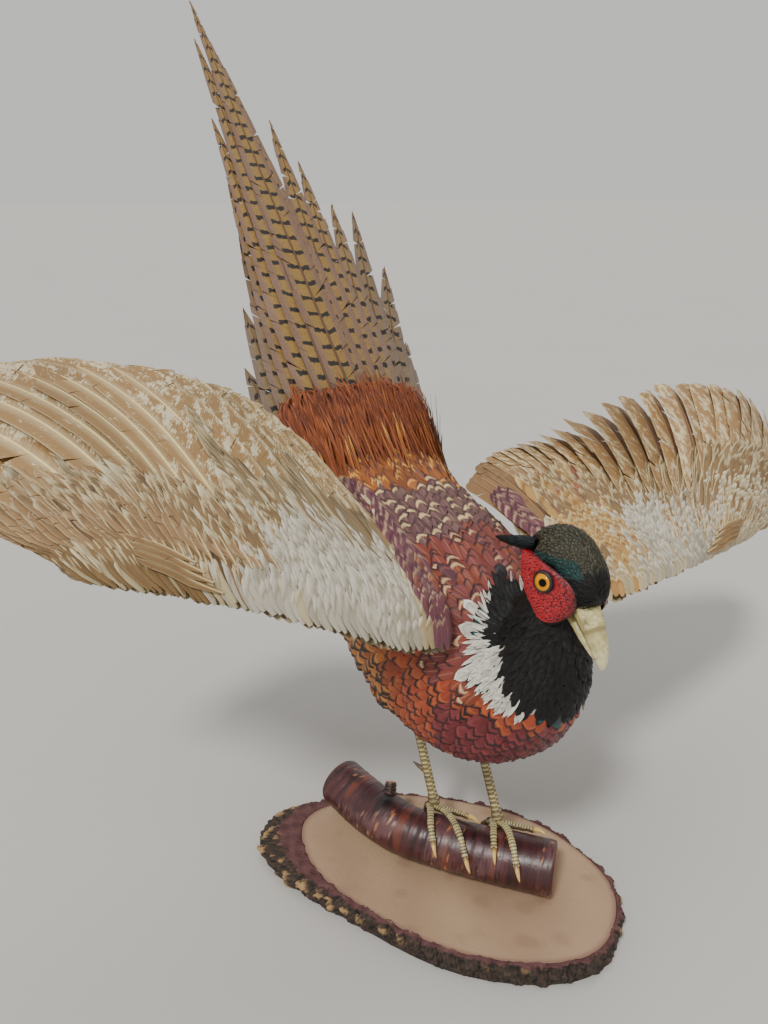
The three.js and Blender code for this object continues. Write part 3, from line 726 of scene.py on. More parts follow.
def areaWeights(points, normals):
    x, y, z = points.T / mm
    up = normals[:, 2]
    wander = ripple(points, 0.03, 5)
    frayed = 2.2 * ripple(points, 0.011, 3)
    below = belowNeck(points) + frayed
    beyondRing = belowNeck(points, 2) + frayed
    aside = np.abs(x - 19)
    side, ahead, height = inHead(points).T / mm
    isHead = smooth(247, 254, z + 0.25 * (y + 50)) * smooth(-34, -40, y)
    isNeck = smooth(1.0, -1.0, below)
    ringed = smooth(-1, 0.6, below) * smooth(0.8, -0.8, beyondRing) * np.where(x < 17, 1, 0.6)
    ringed = ringed * np.maximum(smooth(6, 13, aside), smooth(-40, -50, y))
    above = smooth(0.1, 0.45, up + 0.1 * wander)
    topSide = (1 - isHead) * (1 - isNeck) * above
    lowSide = (1 - isHead) * (1 - isNeck) * (1 - above)
    under = smooth(-0.45, -0.8, up)
    front = smooth(34, 6, y + 6 * wander)
    low = smooth(-14, -34, y + 4 * wander) * smooth(192, 176, z + 6 * wander)
    low = np.maximum(low, smooth(150, 128, z) * smooth(10, -10, y))
    mantle = smooth(40, 26, y + 6 * wander)
    rear = smooth(80, 96, y + 7 * wander)
    tail = smooth(108, 126, y + 5 * wander)
    crown = smooth(8.5, 11.5, height + 0.6 * wander) * smooth(26, 22, ahead)
    crown = np.maximum(crown, smooth(-15, -20, ahead) * smooth(-1, 3, height))
    rim = smooth(7.5, 9, height) * smooth(16.5, 13, height)
    rim = rim * smooth(6, 9, np.abs(side)) * smooth(24, 17, ahead)
    weights = {
        "copper": lowSide * front * (1 - low),
        "burgundy": lowSide * front * low,
        "flank": lowSide * (1 - front) * (1 - under) * smooth(132, 112, y),
        "belly": lowSide * (1 - front) * under * smooth(120, 100, y),
        "vent": lowSide * smooth(96, 122, y),
        "mantle": topSide * mantle,
        "plum": 0.45 * topSide * mantle * smooth(-20, 10, y),
        "back": topSide * (1 - mantle) * (1 - rear),
        "rump": topSide * rear * (1 - tail),
        "fox": topSide * tail,
        "ring": 60 * (1 - isHead) * ringed,
        "neck": isNeck * (1 - isHead) + isHead * (1 - np.clip(crown, 0, 1)),
        "green": 34 * (1 - isHead) * ringed + 9 * isHead * rim,
        "crown": isHead * np.clip(crown, 0, 1),
    }
    return np.stack([weights[name] for name in areaNames], 1) + 1e-6


# Tones, width of the edge and strength of the mark for feathers of mixed kinds, by the weight of each kind.
def mixedTones(table, weights, spread, points, grain, seed, share):
    pick = np.argmax(np.log(weights) + spread * dice.gumbel(size=weights.shape), axis=1)
    first, second, edge, depth, mark, strength = (
        np.array([tone(row[k]) for row in table.values()])[pick] for k in range(6))
    mixed = np.clip(0.5 + share * ripple(points, grain, seed) + dice.normal(0, 0.25, len(points)), 0, 1)
    look = {"area": pick, "base": blendTone(first, second, mixed), "edge": edge, "mark": mark}
    return look, depth, strength


def coatLook(points, normals, spread=0.35, shades=(0.82, 1.16)):
    count = len(points)
    look, depth, marked = mixedTones(coatTones, areaWeights(points, normals), spread, points, 0.018, 8, 0.45)
    rare = marked > 0.45  # these areas have a bold mark on some feathers only
    markSize = np.where(rare, marked * (dice.random(count) < 0.42 * marked),
                        marked * dice.uniform(0.5, 1.3, count))
    return look | {"edgeWidth": depth * dice.uniform(0.7, 1.3, count), "markSize": markSize,
                   "shade": dice.uniform(*shades, count), "bake": mapPlaces(points)}


# Bare parts, where no feather stands.
eyesForm = mergedCopy("eye_right", "eye_left")
eyesTree = BVHTree.FromBMesh(eyesForm)
billForm = mergedCopy("bill_upper", "bill_lower")
billTree = BVHTree.FromBMesh(billForm)
eyesForm.free()
billForm.free()


def clear(points, tree, least):
    found = [tree.find_nearest(Vector(p), least) for p in points]
    return np.array([f[0] is None for f in found], float)


def offWattle(points, inset=0.92):
    side, ahead, height = inHead(points).T / mm
    rows = np.array(wattleForm["rows"])
    v = np.interp(height, rows[::-1, 0], np.linspace(1, 0, len(rows)))
    middle, half = throughRows(rows, v)[:, 1:].T
    inside = (np.abs(ahead - middle) < half * inset) & (height > rows[-1, 0]) & (height < rows[0, 0] - 0.6)
    return 1 - (inside & (np.abs(side) > 8)).astype(float)


coatForm = {
    # spacing, length, width, root and tip rise in mm; how soon feathers run on free; shape of their tips
    "breast": {"spacing": 4.4, "length": 13, "width": 8.2, "rise": (0.3, 2.0), "free": 1.2},
    "back": {"spacing": 5.2, "length": 17, "width": 9.5, "rise": (0.3, 2.2), "free": 1.2},
    "rump": {"spacing": 4.0, "length": 24, "width": 4.6, "rise": (0.4, 2.4), "free": 0.1, "pointed": 0.6,
             "ragged": 0.06},
    "fox": {"spacing": 2.7, "length": 42, "width": 1.8, "rise": (0.3, 3.0), "free": -0.12, "pointed": 0.8},
    "neck": {"spacing": 2.6, "length": 9, "width": 4.0, "rise": (0.2, 1.6), "pointed": 0.2},
    "head": {"spacing": 1.4, "length": 6.2, "width": 1.3, "rise": (0.15, 0.5)},
}
zoneNames = list(coatForm)


def zoneOf(points):
    y, z = points[:, 1] / mm, points[:, 2] / mm
    head = (z + 0.25 * (y + 50) > 250) & (y < -36)
    neck = ~head & (belowNeck(points, 2) < 0.5)
    fox = y > 116
    names = np.select([head, neck, fox, y > 88, y > -5], ["head", "neck", "fox", "rump", "back"], "breast")
    return np.array([zoneNames.index(name) for name in names])


def spacingAt(points):
    sizes = np.array([part["spacing"] for part in coatForm.values()]) * mm
    zones = zoneOf(points)
    ahead = inHead(points)[:, 1]
    fine = np.where(zones == zoneNames.index("head"), 1 - 0.25 * smooth(0.008, 0.02, ahead), 1)
    ringed = (zones == zoneNames.index("neck")) & (belowNeck(points) > -1.5)
    return sizes[zones] * fine * np.where(ringed, 0.55, 1)


def keepAt(points):
    keep = np.ones(len(points))
    head = points[:, 2] > 0.235
    rear = points[:, 1] > 0.1
    _, up = nearest(shellTree, points[rear])
    keep[rear] = up @ tailWay > -0.75  # none where the skin faces against the coat
    spots = points[head]
    keep[head] = clear(spots, eyesTree, 0.0021) * clear(spots, billTree, 0.0005) * offWattle(spots)
    return keep


def addCoat():
    rootsAll = scatter(shell.copy(), spacingAt, keepAt)
    smoothUp = nearest(shellTree, rootsAll)[1]
    zones = zoneOf(rootsAll)
    finishes = {
        "breast": ("body_feather", "breastFeather", 0.42,
                   {"Sheen_Weight": 0.12, "Sheen_Tint": (0.5, 0.2, 0.4, 1)}),
        "back": ("body_feather", "backFeather", 0.52, {}),
        "rump": ("rump_feather", "rumpFeather", 0.55, {}),
        "fox": ("rump_feather", "tailCovertFeather", 0.55, {}),
        "neck": ("neck_feather", "neckFeather", 0.5, {"Specular_IOR_Level": 0.32}),
        "head": ("head_feather", "headFeather", 0.45, {"Specular_IOR_Level": 0.35}),
    }
    for i, (zone, sizes) in enumerate(coatForm.items()):
        roots, normals = rootsAll[zones == i], smoothUp[zones == i]
        count = len(roots)
        look = coatLook(roots, normals)
        length = sizes["length"] * mm * dice.uniform(0.85, 1.15, count)
        width = sizes["width"] * mm * dice.uniform(0.85, 1.12, count)
        rise = np.array(sizes["rise"])[None] * mm * dice.uniform(0.8, 1.2, (count, 1))
        if zone == "fox":
            above = smooth(-0.3, 0.2, normals[:, 2])
            length = length * (0.55 + 0.45 * above) * dice.uniform(0.7, 1.25, count)
        if zone == "head":
            near = smooth(-0.012, 0.018, inHead(roots)[:, 1])
            length, width = length * (1 - 0.4 * near), width * (1 - 0.3 * near)
        if zone == "neck":
            white = look["area"] == areaNames.index("ring")
            length, width = length * (1 + 0.25 * white), width * (1 - 0.5 * white)
            rise = rise * (1 + 0.5 * white)[:, None]
        lie = layDown(roots, normals, length, width, rise, sway=0.2 if zone == "neck" else 0.12,
                      free=sizes.get("free", 0.35), bold=zone == "fox")
        fine = zone in ("neck", "head", "fox")
        slotName, paintName, rough, settings = finishes[zone]
        form = leafFeathers(lie, look, rows=5 if fine else 7, columns=3 if fine else 5,
                            pointed=sizes.get("pointed", 0.0), ragged=sizes.get("ragged", 0.035))
        paint = smallFeatherMaterial(paintName, Roughness=rough, **settings)
        addPiece(zone + "_feathers", form, paint, slotName)
        print(zone, "feathers", count)


# The wings stand on ribs. Rows: leading edge x, y, z, feather tips x, y, z, thickness of the arm, in mm.
wingRibs = {
    "right": [(-30, -30, 218, -26, 100, 283, 30), (-62, -30, 228, -36, 122, 282, 24),
              (-112, -12, 250, -73, 132, 323, 17), (-152, 4, 264, -134, 123, 357, 13),
              (-172, 10, 271, -200, 152, 367, 10), (-192, 17, 277, -262, 150, 358, 7),
              (-208, 24, 281, -332, 128, 322, 5)],
    "left": [(74, -30, 216, 76, 104, 258, 30), (102, -36, 220, 118, 132, 264, 24),
             (152, -28, 218, 186, 140, 268, 17), (205, -12, 212, 259, 97, 308, 13),
             (226, -8, 212, 312, 80, 306, 10), (246, -2, 211, 366, 78, 280, 7),
             (262, 5, 209, 404, 70, 224, 5)],
}


# A spot on a wing: a runs from body to tip, b from the leading edge back, level 1 is the upper side.
def wingAt(side, a, b, level=0.0, share=1.0, grow=0.0):
    a, b, level = np.broadcast_arrays(*(np.asarray(v, float) for v in (a, b, level)))
    rows = throughRows(wingRibs[side], a)
    front, chord, thick = rows[..., :3], rows[..., 3:6] - rows[..., :3], rows[..., 6]
    span = (throughRows(wingRibs[side], a + 0.01) - throughRows(wingRibs[side], a - 0.01))[..., :3]
    up = unit(np.cross(span, chord))
    up = np.where(up[..., 2:] < 0, -up, up)
    nose = np.minimum(1, np.maximum(b, 0) / 0.14 + 0.02) ** 0.5
    fall = np.maximum(0, 1 - np.maximum(0, b - 0.14) / 0.44) ** 1.4
    half = (1.3 + thick * nose * fall * share) / 2 + grow
    arch = 0.1 * np.linalg.norm(chord, axis=-1) * 4 * b * (1 - b)
    point = front + chord * b[..., None] + up * (arch + level * half)[..., None]
    return point * mm, up, np.linalg.norm(chord, axis=-1) * mm


flightForm = {
    # share of the wing from body to tip, number, outer and inner vane against the spacing, where vanes start,
    # how much of the tip is worn off, start of the round end
    "tertials": {"from": 0.0, "to": 1 / 6, "count": 5, "vanes": (0.75, 1.1), "start": 0.14, "loss": 0.03,
                 "narrow": 0.86},
    "secondaries": {"from": 1 / 6, "to": 0.5, "count": 13, "vanes": (0.72, 1.5), "start": 0.12, "loss": 0.009,
                    "narrow": 0.9},
    "primaries": {"from": 0.5, "to": 1.0, "count": 10, "vanes": (0.52, 1.3), "start": 0.1, "loss": 0.018,
                  "narrow": 0.72},
}
flightTones = {
    # base, edge, pale cloud, shaft, amount of cloud
    "right": {"tertials": ("8c7652", "c4b184", "b8a478", "b89a6c", 0.3),
              "secondaries": ("8f7044", "d0bf96", "d0c29c", "cdb884", 0.46),
              "primaries": ("957448", "dccca4", "d4c8a6", "e4cf94", 0.54)},
    "left": {"tertials": ("86643e", "b09468", "ac8c5c", "7c5c44", 0.25),
             "secondaries": ("9c784a", "d0bb8c", "dccba0", "6a4840", 0.5),
             "primaries": ("a07c50", "d4c294", "dccca4", "74504a", 0.52)},
}
wingSlant = {"right": 0.27, "left": 0.06}


def slantAt(side, a):  # how far feathers lean out towards the tip of the wing, from root to end
    return wingSlant[side] * smooth(0.02, 0.3, a) * smooth(1.02, 0.78, a)


def flightPath(side, a, b, level):
    return wingAt(side, a - slantAt(side, a) * (1 - b), b, level, share=0.4)


def flightQuill(side, part, i):
    form = flightForm[part]
    step = (form["to"] - form["from"]) / form["count"]
    a = form["from"] + (i + 0.5) * step + dice.normal(0, 0.06) * step
    loss = 0.008 + abs(dice.normal(0, form["loss"]))
    b = np.linspace(form["start"], 1 - loss, 64)
    level = 0.45 * smooth(0.5, 0.2, b)
    path, up, _ = flightPath(side, a, b, level)
    beside, _, _ = flightPath(side, a + (step if a + step < 1 else -step), b, 0)
    spacing = np.linalg.norm(path - beside, axis=1)
    ends = [flightPath(side, a + k * step, b, level)[0] for k in (-1, 1)]  # the vanes curve with the wing
    bow = ((sum(ends) / 2 - path) * up).sum(1) / spacing**2
    t = (b - b[0]) / (b[-1] - b[0])
    outer, inner = form["vanes"]
    narrow = max(form["narrow"], 0.84) if side == "left" else form["narrow"]
    end = roundEnd(t, narrow, 1 - narrow)
    full = np.minimum(spacing, 0.03) * smooth(-0.05, 0.3, t)
    last = part == "primaries" and i == form["count"] - 1
    widths = (inner * full * end, outer * full * end ** 1.2 * (0.6 if last else 1))
    one = quill(path, up, widths[::sides[side]], groups=(5, 16), gap=0.0011, shaftRadius=0.0012, droop=0.015,
                roll=-0.02 * sides[side], inner=sides[side], bow=np.clip(bow, -8, 8))
    *tones, amount = flightTones[side][part]
    shade = dice.uniform(0.84, 1.1)
    return painted(one, *tones, amount + dice.normal(0, 0.05), shade)


# Where feathers start, middle and end, from a function that gives each share's spots and up directions.
def lieFrom(placeAt, width, rise, roll):
    lie = {}
    for key, part in (("Root", 0.0), ("Middle", 0.5), ("Tip", 1.0)):
        lie[key.lower()], lie["up" + key] = placeAt(part)
    return lie | {"width": width, "rise": rise, "roll": roll}


def wingLeaves(side, a, b, length, width, rise, below=False, splay=0.0):
    flip = -1 if below else 1
    _, _, chord = wingAt(side, a, b)
    outwards = slantAt(side, a + 0.1) + splay * smooth(0.38, 0.6, a)

    def placeAt(part):
        run = part * length / chord
        point, up, _ = wingAt(side, np.minimum(a + outwards * run, 1.0), b + run, flip, share=0.6)
        return point, up * flip

    return lieFrom(placeAt, width, rise, dice.normal(0, 0.08, len(a)))


covertLayers = {
    # kind, from a to a, from b to b, spacing, length, width, root and tip rise in mm
    "right": [("streak", 0.09, 0.4, 0.32, 0.72, 4.0, 56, 4.6, 1.2, 2.2),
              ("loop", 0.36, 0.99, 0.1, 0.24, 5.0, 36, 6.6, 0.8, 1.8),
              ("small", 0.0, 0.42, 0.0, 0.42, 4.0, 20, 6.6, 0.5, 1.6),
              ("small", 0.4, 0.99, 0.0, 0.12, 3.7, 27, 4.6, 0.5, 1.5),
              ("scapular", 0.0, 0.11, 0.06, 0.78, 5.4, 27, 9.0, 1.4, 2.8)],
    "left": [("streak", 0.12, 0.3, 0.28, 0.5, 5.6, 40, 8.4, 0.8, 1.6),
             ("loop", 0.24, 0.99, 0.2, 0.4, 6.8, 40, 8.6, 0.8, 1.7),
             ("small", 0.0, 0.99, 0.0, 0.32, 4.1, 18, 6.6, 0.5, 1.6),
             ("scapular", 0.0, 0.08, 0.06, 0.6, 5.4, 25, 9.0, 1.4, 2.8)],
}
covertTones = {
    # two body tones, edge and its depth, mark and its strength
    "white": ("c6beab", "b0a690", "d4ccba", 0.2, "9c927a", 0.25),
    "cream": ("cfc09a", "bba87e", "e0d4b4", 0.15, "a88c60", 0.3),
    "ochre": ("c69c56", "b88c4e", "d8bc84", 0.12, "94683a", 0.3),
    "tan": ("987a50", "866840", "ccba90", 0.12, "7c6240", 0.25),
    "brown": ("7c6040", "6c5234", "c0a878", 0.1, "52402a", 0.4),
    "olive": ("988660", "84704c", "b8a880", 0.12, "685438", 0.4),
    "plum": ("6a3742", "754650", "54283a", 0.1, "c8ac84", 0.2),
    "maroon": ("7a382c", "8a4636", "b08860", 0.1, "b0744e", 0.3),
    "buff": ("c4b492", "b4a27e", "d6caaa", 0.15, "a09070", 0.3),
}
whiteLimit = np.array([(0, 0.4), (0.1, 0.42), (0.2, 0.4), (0.3, 0.3), (0.36, 0.12), (0.42, -0.04), (1, -0.1)])


def covertWeights(side, kind, a, b):
    jag = 0.035 * np.sin(a * 190) + 0.02 * np.sin(b * 90)
    if kind == "scapular":
        return {"plum": 1, "cream": 0.35 * smooth(0.4, 0.6, b), "maroon": 0.3}
    if side == "right":
        if kind == "streak":
            return {"olive": 1, "tan": 0.5, "cream": 0.3, "brown": 0.25}
        if kind == "loop":
            return {"tan": 1, "cream": 0.3, "brown": 0.35, "white": 0.15}
        white = smooth(0.03, -0.03, b - np.interp(a, *whiteLimit.T) + jag)
        white = white * smooth(0.08, 0.13, a + 0.3 * jag)
        front = smooth(0.03, 0.0, b) * smooth(0.4, 0.3, a)
        return {"white": 14 * white, "cream": 0.4 + 2 * smooth(0.16, 0.1, a) + 5 * front,
                "tan": 0.8 * (1 - white), "brown": 0.12 * (1 - white), "plum": 12 * smooth(0.07, 0.03, a)}
    spots = smooth(0.06, 0.1, a) * smooth(0.3, 0.24, a) * smooth(0.22, 0.3, b)
    if kind == "streak":
        return {"tan": 1, "cream": 0.12, "maroon": 0.3 * spots, "ochre": 0.7 * smooth(0.3, 0.2, a)}
    if kind == "loop":
        return {"tan": 1, "cream": 0.3}
    white = smooth(0.22, 0.3, a + jag) * smooth(0.56, 0.42, a) * smooth(0.36, 0.26, b + jag)
    ochre = smooth(0.06, 0.12, a) * smooth(0.3, 0.22, a) * smooth(0.4, 0.3, b)
    return {"white": 8 * white, "ochre": 2.4 * ochre, "cream": 0.8 + 3 * smooth(0.07, 0.03, b),
            "tan": 0.3 * (1 - white), "maroon": 0.6 * spots, "plum": 12 * smooth(0.05, 0.02, a)}


def covertLook(points, a, b, weights, shades=(0.86, 1.1)):
    scores = np.stack([np.broadcast_to(weights.get(name, 0), a.shape) for name in covertTones], 1) + 1e-6
    look, depth, strength = mixedTones(covertTones, scores, 0.45, points, 0.03, 18, 0.5)
    return look | {"edgeWidth": depth * dice.uniform(0.6, 1.4, len(a)),
                   "markSize": strength * dice.uniform(0.4, 1.3, len(a)),
                   "shade": dice.uniform(*shades, len(a)), "bake": 0.01 + 0.98 * np.stack([a, b], 1)}


def spreadOverWing(side, low, high, spacing, start=0.0, end=0.98):
    spots = []
    b = low
    rowStep = spacing * mm * 0.8 / wingAt(side, 0.3, 0.2)[2]
    share = np.linspace(start, end, 200)
    while b < high:
        run = distances(wingAt(side, share, b)[0])
        count = int(run[-1] / (spacing * mm))
        wanted = np.arange(count) + 0.5 * (len(spots) % 2) + dice.normal(0, 0.16, count)
        a = np.interp(wanted * spacing * mm, run, share)
        spots.append(np.stack([a, b + dice.normal(0, 0.18 * rowStep, count)], 1))
        b += rowStep
    return np.vstack(spots).T


def armLoft(side):  # the flesh of the arm, thinner than the feathered wing
    form = newForm()
    turn = around(24)
    b = 0.17 - 0.155 * np.cos(turn)
    level = np.sign(np.sin(turn)) * np.abs(np.sin(turn)) ** 0.6
    a = np.linspace(0, 0.93, 60)[:, None]
    loftInto(form, wingAt(side, a, b[None], level * 0.9, share=0.62, grow=-0.25)[0], 0)
    return form


def greaterCoverts(side, count=26):
    reach = {"right": 0.24, "left": 0.3}[side]
    t = np.linspace(0, 1, 24)
    shape = smooth(-0.1, 0.35, t) * roundEnd(t, 0.55, 0.45)
    rows = ((0.16, 1.0, 0.0075, 1.0), (0.12, 0.8, 0.006, 1.2))
    for i in range(count):
        a = 0.34 + (i + 0.5) / count * 0.64
        for row, (start, length, width, level) in enumerate(rows):
            place = min(a + row * 0.3 / count + dice.normal(0, 0.003), 0.99)
            b = np.linspace(start, start + length * reach * dice.uniform(0.8, 1.15), 24)
            slant = slantAt(side, place + 0.1) * (b - start)
            path, up, _ = wingAt(side, np.minimum(place + slant, 0.995), b, level, share=0.62, grow=0.3)
            one = quill(path, up, (width * shape, width * 0.9 * shape), lean=0.8, groups=(3, 8), gap=0.0008,
                        shaftRadius=0.0005, roll=-sides[side] * 0.08, inner=sides[side])
            yield painted(one, blendTone("a07e56", "8a6a46", dice.random()), "dccda6", "dccfae", "c9b384",
                          0.4 + dice.normal(0, 0.06), dice.uniform(0.86, 1.1))


def thumbFeathers(side):
    t = np.linspace(0, 1, 30)
    shape = smooth(-0.1, 0.3, t) * roundEnd(t, 0.7, 0.3)
    for i in range(4):
        a = 0.47 + 0.02 * i + (0.25 - 0.02 * i) * t
        path, up, _ = wingAt(side, a, 0.03 + 0.026 * i + 0.06 * t, 1, share=0.8, grow=1.5 - 0.3 * i)
        one = quill(path, up, (0.0048 * shape, 0.0036 * shape), lean=0.7, groups=(8, 16), gap=0.0003,
                    shaftRadius=0.0006, inner=sides[side])
        yield painted(one, "86663f", "d8c89c", "c0a878", "c8b080", 0.3, dice.uniform(0.85, 1.05))


def addWing(side, flightPaint, covertPaint, loopPaint):
    name = "wing_" + side
    for part, form in flightForm.items():
        quills = joinQuills([flightQuill(side, part, i) for i in range(form["count"])])
        addPiece(f"{name}_{part}_feathers", quills, flightPaint, "flight_feather", (f"{name}_{part}",))
    addPiece(name + "_greater_coverts", joinQuills(list(greaterCoverts(side))), flightPaint, "covert_feather")
    groups = {"upper": [], "loop": [], "under": []}
    for kind, start, end, low, high, spacing, length, width, *rise in covertLayers[side]:
        a, b = spreadOverWing(side, low, high, spacing, start, end)
        points, _, _ = wingAt(side, a, b, 1)
        size = (1 - 0.3 * a) * dice.uniform(0.82, 1.18, len(a)) * (0.6 + 0.4 * smooth(0, 0.07, b))
        thin = 1.0
        if kind == "scapular":
            size = size * (0.5 + 0.5 * smooth(0.1, 0.4, b))
            thin = 0.6 + 0.4 * smooth(0.15, 0.4, b)
        if kind == "small" and side == "right":  # soft and narrow over the shoulder, broader at its edge
            soft = smooth(0.34, 0.18, b) * smooth(0.01, 0.1, b)
            size, thin = size * (1.35 - 0.2 * soft), 1.15 - 0.45 * soft
        width = width * mm * thin * dice.uniform(0.85, 1.15, len(a))
        rise = np.array([rise]) * mm * dice.uniform(0.8, 1.2, (len(a), 1))
        splay = {"small": 0.4, "loop": 0.15}.get(kind, 0)
        lie = wingLeaves(side, a, b, length * mm * size, width, rise, splay=splay)
        look = covertLook(points, a, b, covertWeights(side, kind, a, b))
        groups["loop" if kind == "loop" else "upper"].append((lie, look))
    for low, high, spacing, length, width in ((0.01, 0.3, 5.2, 16, 9), (0.24, 0.4, 7, 30, 12)):
        a, b = spreadOverWing(side, low, high, spacing)
        points, _, _ = wingAt(side, a, b, -1)
        width = width * mm * dice.uniform(0.85, 1.15, len(a))
        rise = np.array([[0.3, 1.3]]) * mm * dice.uniform(0.8, 1.2, (len(a), 1))
        lie = wingLeaves(side, a, b, length * mm * (1 - 0.3 * a), width, rise, below=True)
        groups["under"].append((lie, covertLook(points, a, b, {"buff": 1.0, "white": 0.3})))
    for key, group in groups.items():
        lie, look = ({k: np.concatenate([one[k] for one in part]) for k in part[0]} for part in zip(*group))
        form = leafFeathers(lie, look, ragged=0.03, pointed=0.5)
        addPiece(f"{name}_{key}_coverts", form, loopPaint if key == "loop" else covertPaint, "covert_feather")
    addPiece(name + "_thumb_feathers", joinQuills(list(thumbFeathers(side))), flightPaint, "flight_feather",
             (name + "_alula",))
    print(name)


# The tail: fourteen long feathers in layers. Rows: place across the root, tip along and tip across, in mm.
tailForm = {"root": (22, 158, 281), "start": -14, "rise": 45.7, "half": 15, "layer": 1.35, "longest": 6}
tailRows = [(-56, 86, -64), (-49, 140, -50), (-41, 208, -33), (-31, 262, -26), (-21, 330, -20), (-9, 424, -9),
            (6, 472, 0), (14, 408, 8), (22, 332, 34), (31, 288, 48), (39, 240, 64), (46, 234, 84),
            (53, 176, 94), (58, 94, 84)]


def tailQuill(i):
    rootAcross, tipAlong, tipAcross = tailRows[i]
    rise = math.radians(tailForm["rise"])
    along = np.array([0, math.cos(rise), math.sin(rise)])
    normal = np.array([0, -math.sin(rise), math.cos(rise)])
    fromMiddle = i - tailForm["longest"]
    t = np.linspace(0, 1, int(20 + tipAlong / 2.6))
    deep = tailForm["layer"] * ((fromMiddle < 0) - 2 * abs(fromMiddle))
    run = tailForm["start"] + (tipAlong - tailForm["start"]) * t
    across = rootAcross + (tipAcross - rootAcross) * np.clip(run / tipAlong, 0, 1) ** 1.3
    path = (np.array(tailForm["root"]) + along * run[:, None] + np.array([1, 0, 0]) * across[:, None]
            + normal * deep) * mm
    shape = np.minimum(1, 1.55 * (1 - t)) ** 0.75 * (0.72 + 0.28 * np.minimum(1, 4 * t))
    half = (tailForm["half"] * shape + 0.4) * mm * (1 if 2 < i < 11 else 0.92)
    widths = (half * 0.92, half * 1.04)
    one = quill(path, np.tile(normal, (len(t), 1)), widths[::-1] if fromMiddle < 0 else widths, lean=0.85,
                groups=(4, 14), gap=0.0016, columns=(0, 0.25, 0.5, 0.75, 0.9, 1.0), shaftRadius=0.0013,
                droop=0.05)
    outerness = smooth(2, 6, abs(fromMiddle))
    return painted(one, blendTone("94743a", "7e6a4c", outerness), blendTone("7d6152", "74665c", outerness),
                   "5a4024", "5c4128", dice.random(), dice.uniform(0.9, 1.08))


def addTail():
    paint = tailMaterial()
    for name, rows in (("tail_feathers_right", range(0, 6)), ("tail_feathers_left", range(6, 14))):
        addPiece(name, joinQuills([tailQuill(i) for i in rows]), paint, "tail_feather",
                 [f"tail_feather_{i + 1:02d}" for i in rows])
    print("tail")


# Rings of vertices joined into a closed body. Tones are laid on its vertices.
def newForm():
    form = bmesh.new()
    form.verts.layers.float_color.new("base")
    return form


def loftInto(form, rings, tones, closed=False):
    layer = form.verts.layers.float_color["base"]
    table = []
    for ring, ringTones in zip(rings, np.broadcast_to(tones, rings.shape)):
        row = [form.verts.new(p) for p in ring]
        for vert, colour in zip(row, ringTones):
            vert[layer] = (*colour, 1)
        table.append(row)
    made = []
    for first, second in zip(table, table[1:] + table[:1] * closed):
        corners = zip(first, first[1:] + first[:1], second[1:] + second[:1], second)
        made += [form.faces.new(four) for four in corners]
    if not closed:
        made += [form.faces.new(table[0][::-1]), form.faces.new(table[-1])]
    bmesh.ops.recalc_face_normals(form, faces=made)


def tubeRings(path, radius, upHint, count, flat=1.0):
    _, side, up = framesAlong(path, upHint)
    return ringsRound(path, side, up, radius.reshape(len(path), -1), around(count), flat)


def tintedMaterial(name, scale, depth, bumpScale=None, strength=0.4, distance=0.0004, **settings):
    recipe = Recipe(name, **settings)
    light = recipe.noise(scale, 4, rough=0.6) * (depth * 2) + (1 - depth)
    bumps = recipe.noise(bumpScale or scale, 3, rough=0.65)
    return recipe.paint(recipe.bright(recipe.tint("base")[0], light), bumps, strength, distance)


# A bright tone, speckled and bumped by the same fine grain.
def grainyMaterial(name, scale, detail, rough, light, strength, distance, **settings):
    recipe = Recipe(name, **settings)
    grain = recipe.noise(scale, detail, rough=rough)
    colour = recipe.bright(recipe.tint("base")[0], grain * light[0] + light[1])
    recipe.paint(colour, grain, strength, distance)
    return recipe


# The red face: a cushion with fine warts, seen through by the eye.
# Its tones: the red, a near-black painted as shade between the warts and at the tucked edge, and a pale pink
# painted as highlight on the wart tops.
wattleForm = {"rows": [(13.5, -14, 4), (10, -9, 15.5), (4, -2.8, 21), (-3, -1.6, 21.5), (-10, 0.8, 17.5),
                       (-15, 1.6, 12.5), (-19, 1, 8), (-22, 0, 2)],
              "tone": "b0081a", "deep": "240106", "wartHighlight": "dc3844", "wart": 1.25, "height": 0.75,
              "rows across": 210, "rows along": 190}
eyeForm = {"place": (15, 2.1, 2.5), "radius": 6.8, "way": (0.9, 0.38, 0.12), "pupilWay": (0.82, 0.55, 0.17),
           "pupil": 1.9, "iris": 5.2, "corner": 14,
           "lids": [(39, -0.5), (41, -0.1), (44, 0.35), (50, 0.5), (58, 0.25), (70, -0.8)]}


def faceSurface(ahead, height):
    return 18.8 - 0.011 * (ahead + 6) ** 2 - 0.006 * height**2


# How far out the face is, never under the skin of the head.
def onFace(out, ahead, height):
    starts = fromHead(np.stack([np.full(ahead.shape, out * 34.0), ahead, height], -1).reshape(-1, 3) * mm)
    found = [shellTree.ray_cast(Vector(start), Vector(-out * headSide), 0.034)[3] for start in starts]
    reach = np.array([34 - far / mm if far is not None else 0 for far in found]).reshape(ahead.shape)
    level = np.maximum(reach - 0.3, faceSurface(ahead, height) - 0.9)
    for _ in range(30):
        level[1:-1, 1:-1] = (level[:-2, 1:-1] + level[2:, 1:-1] + level[1:-1, :-2] + level[1:-1, 2:]) / 4
    return level


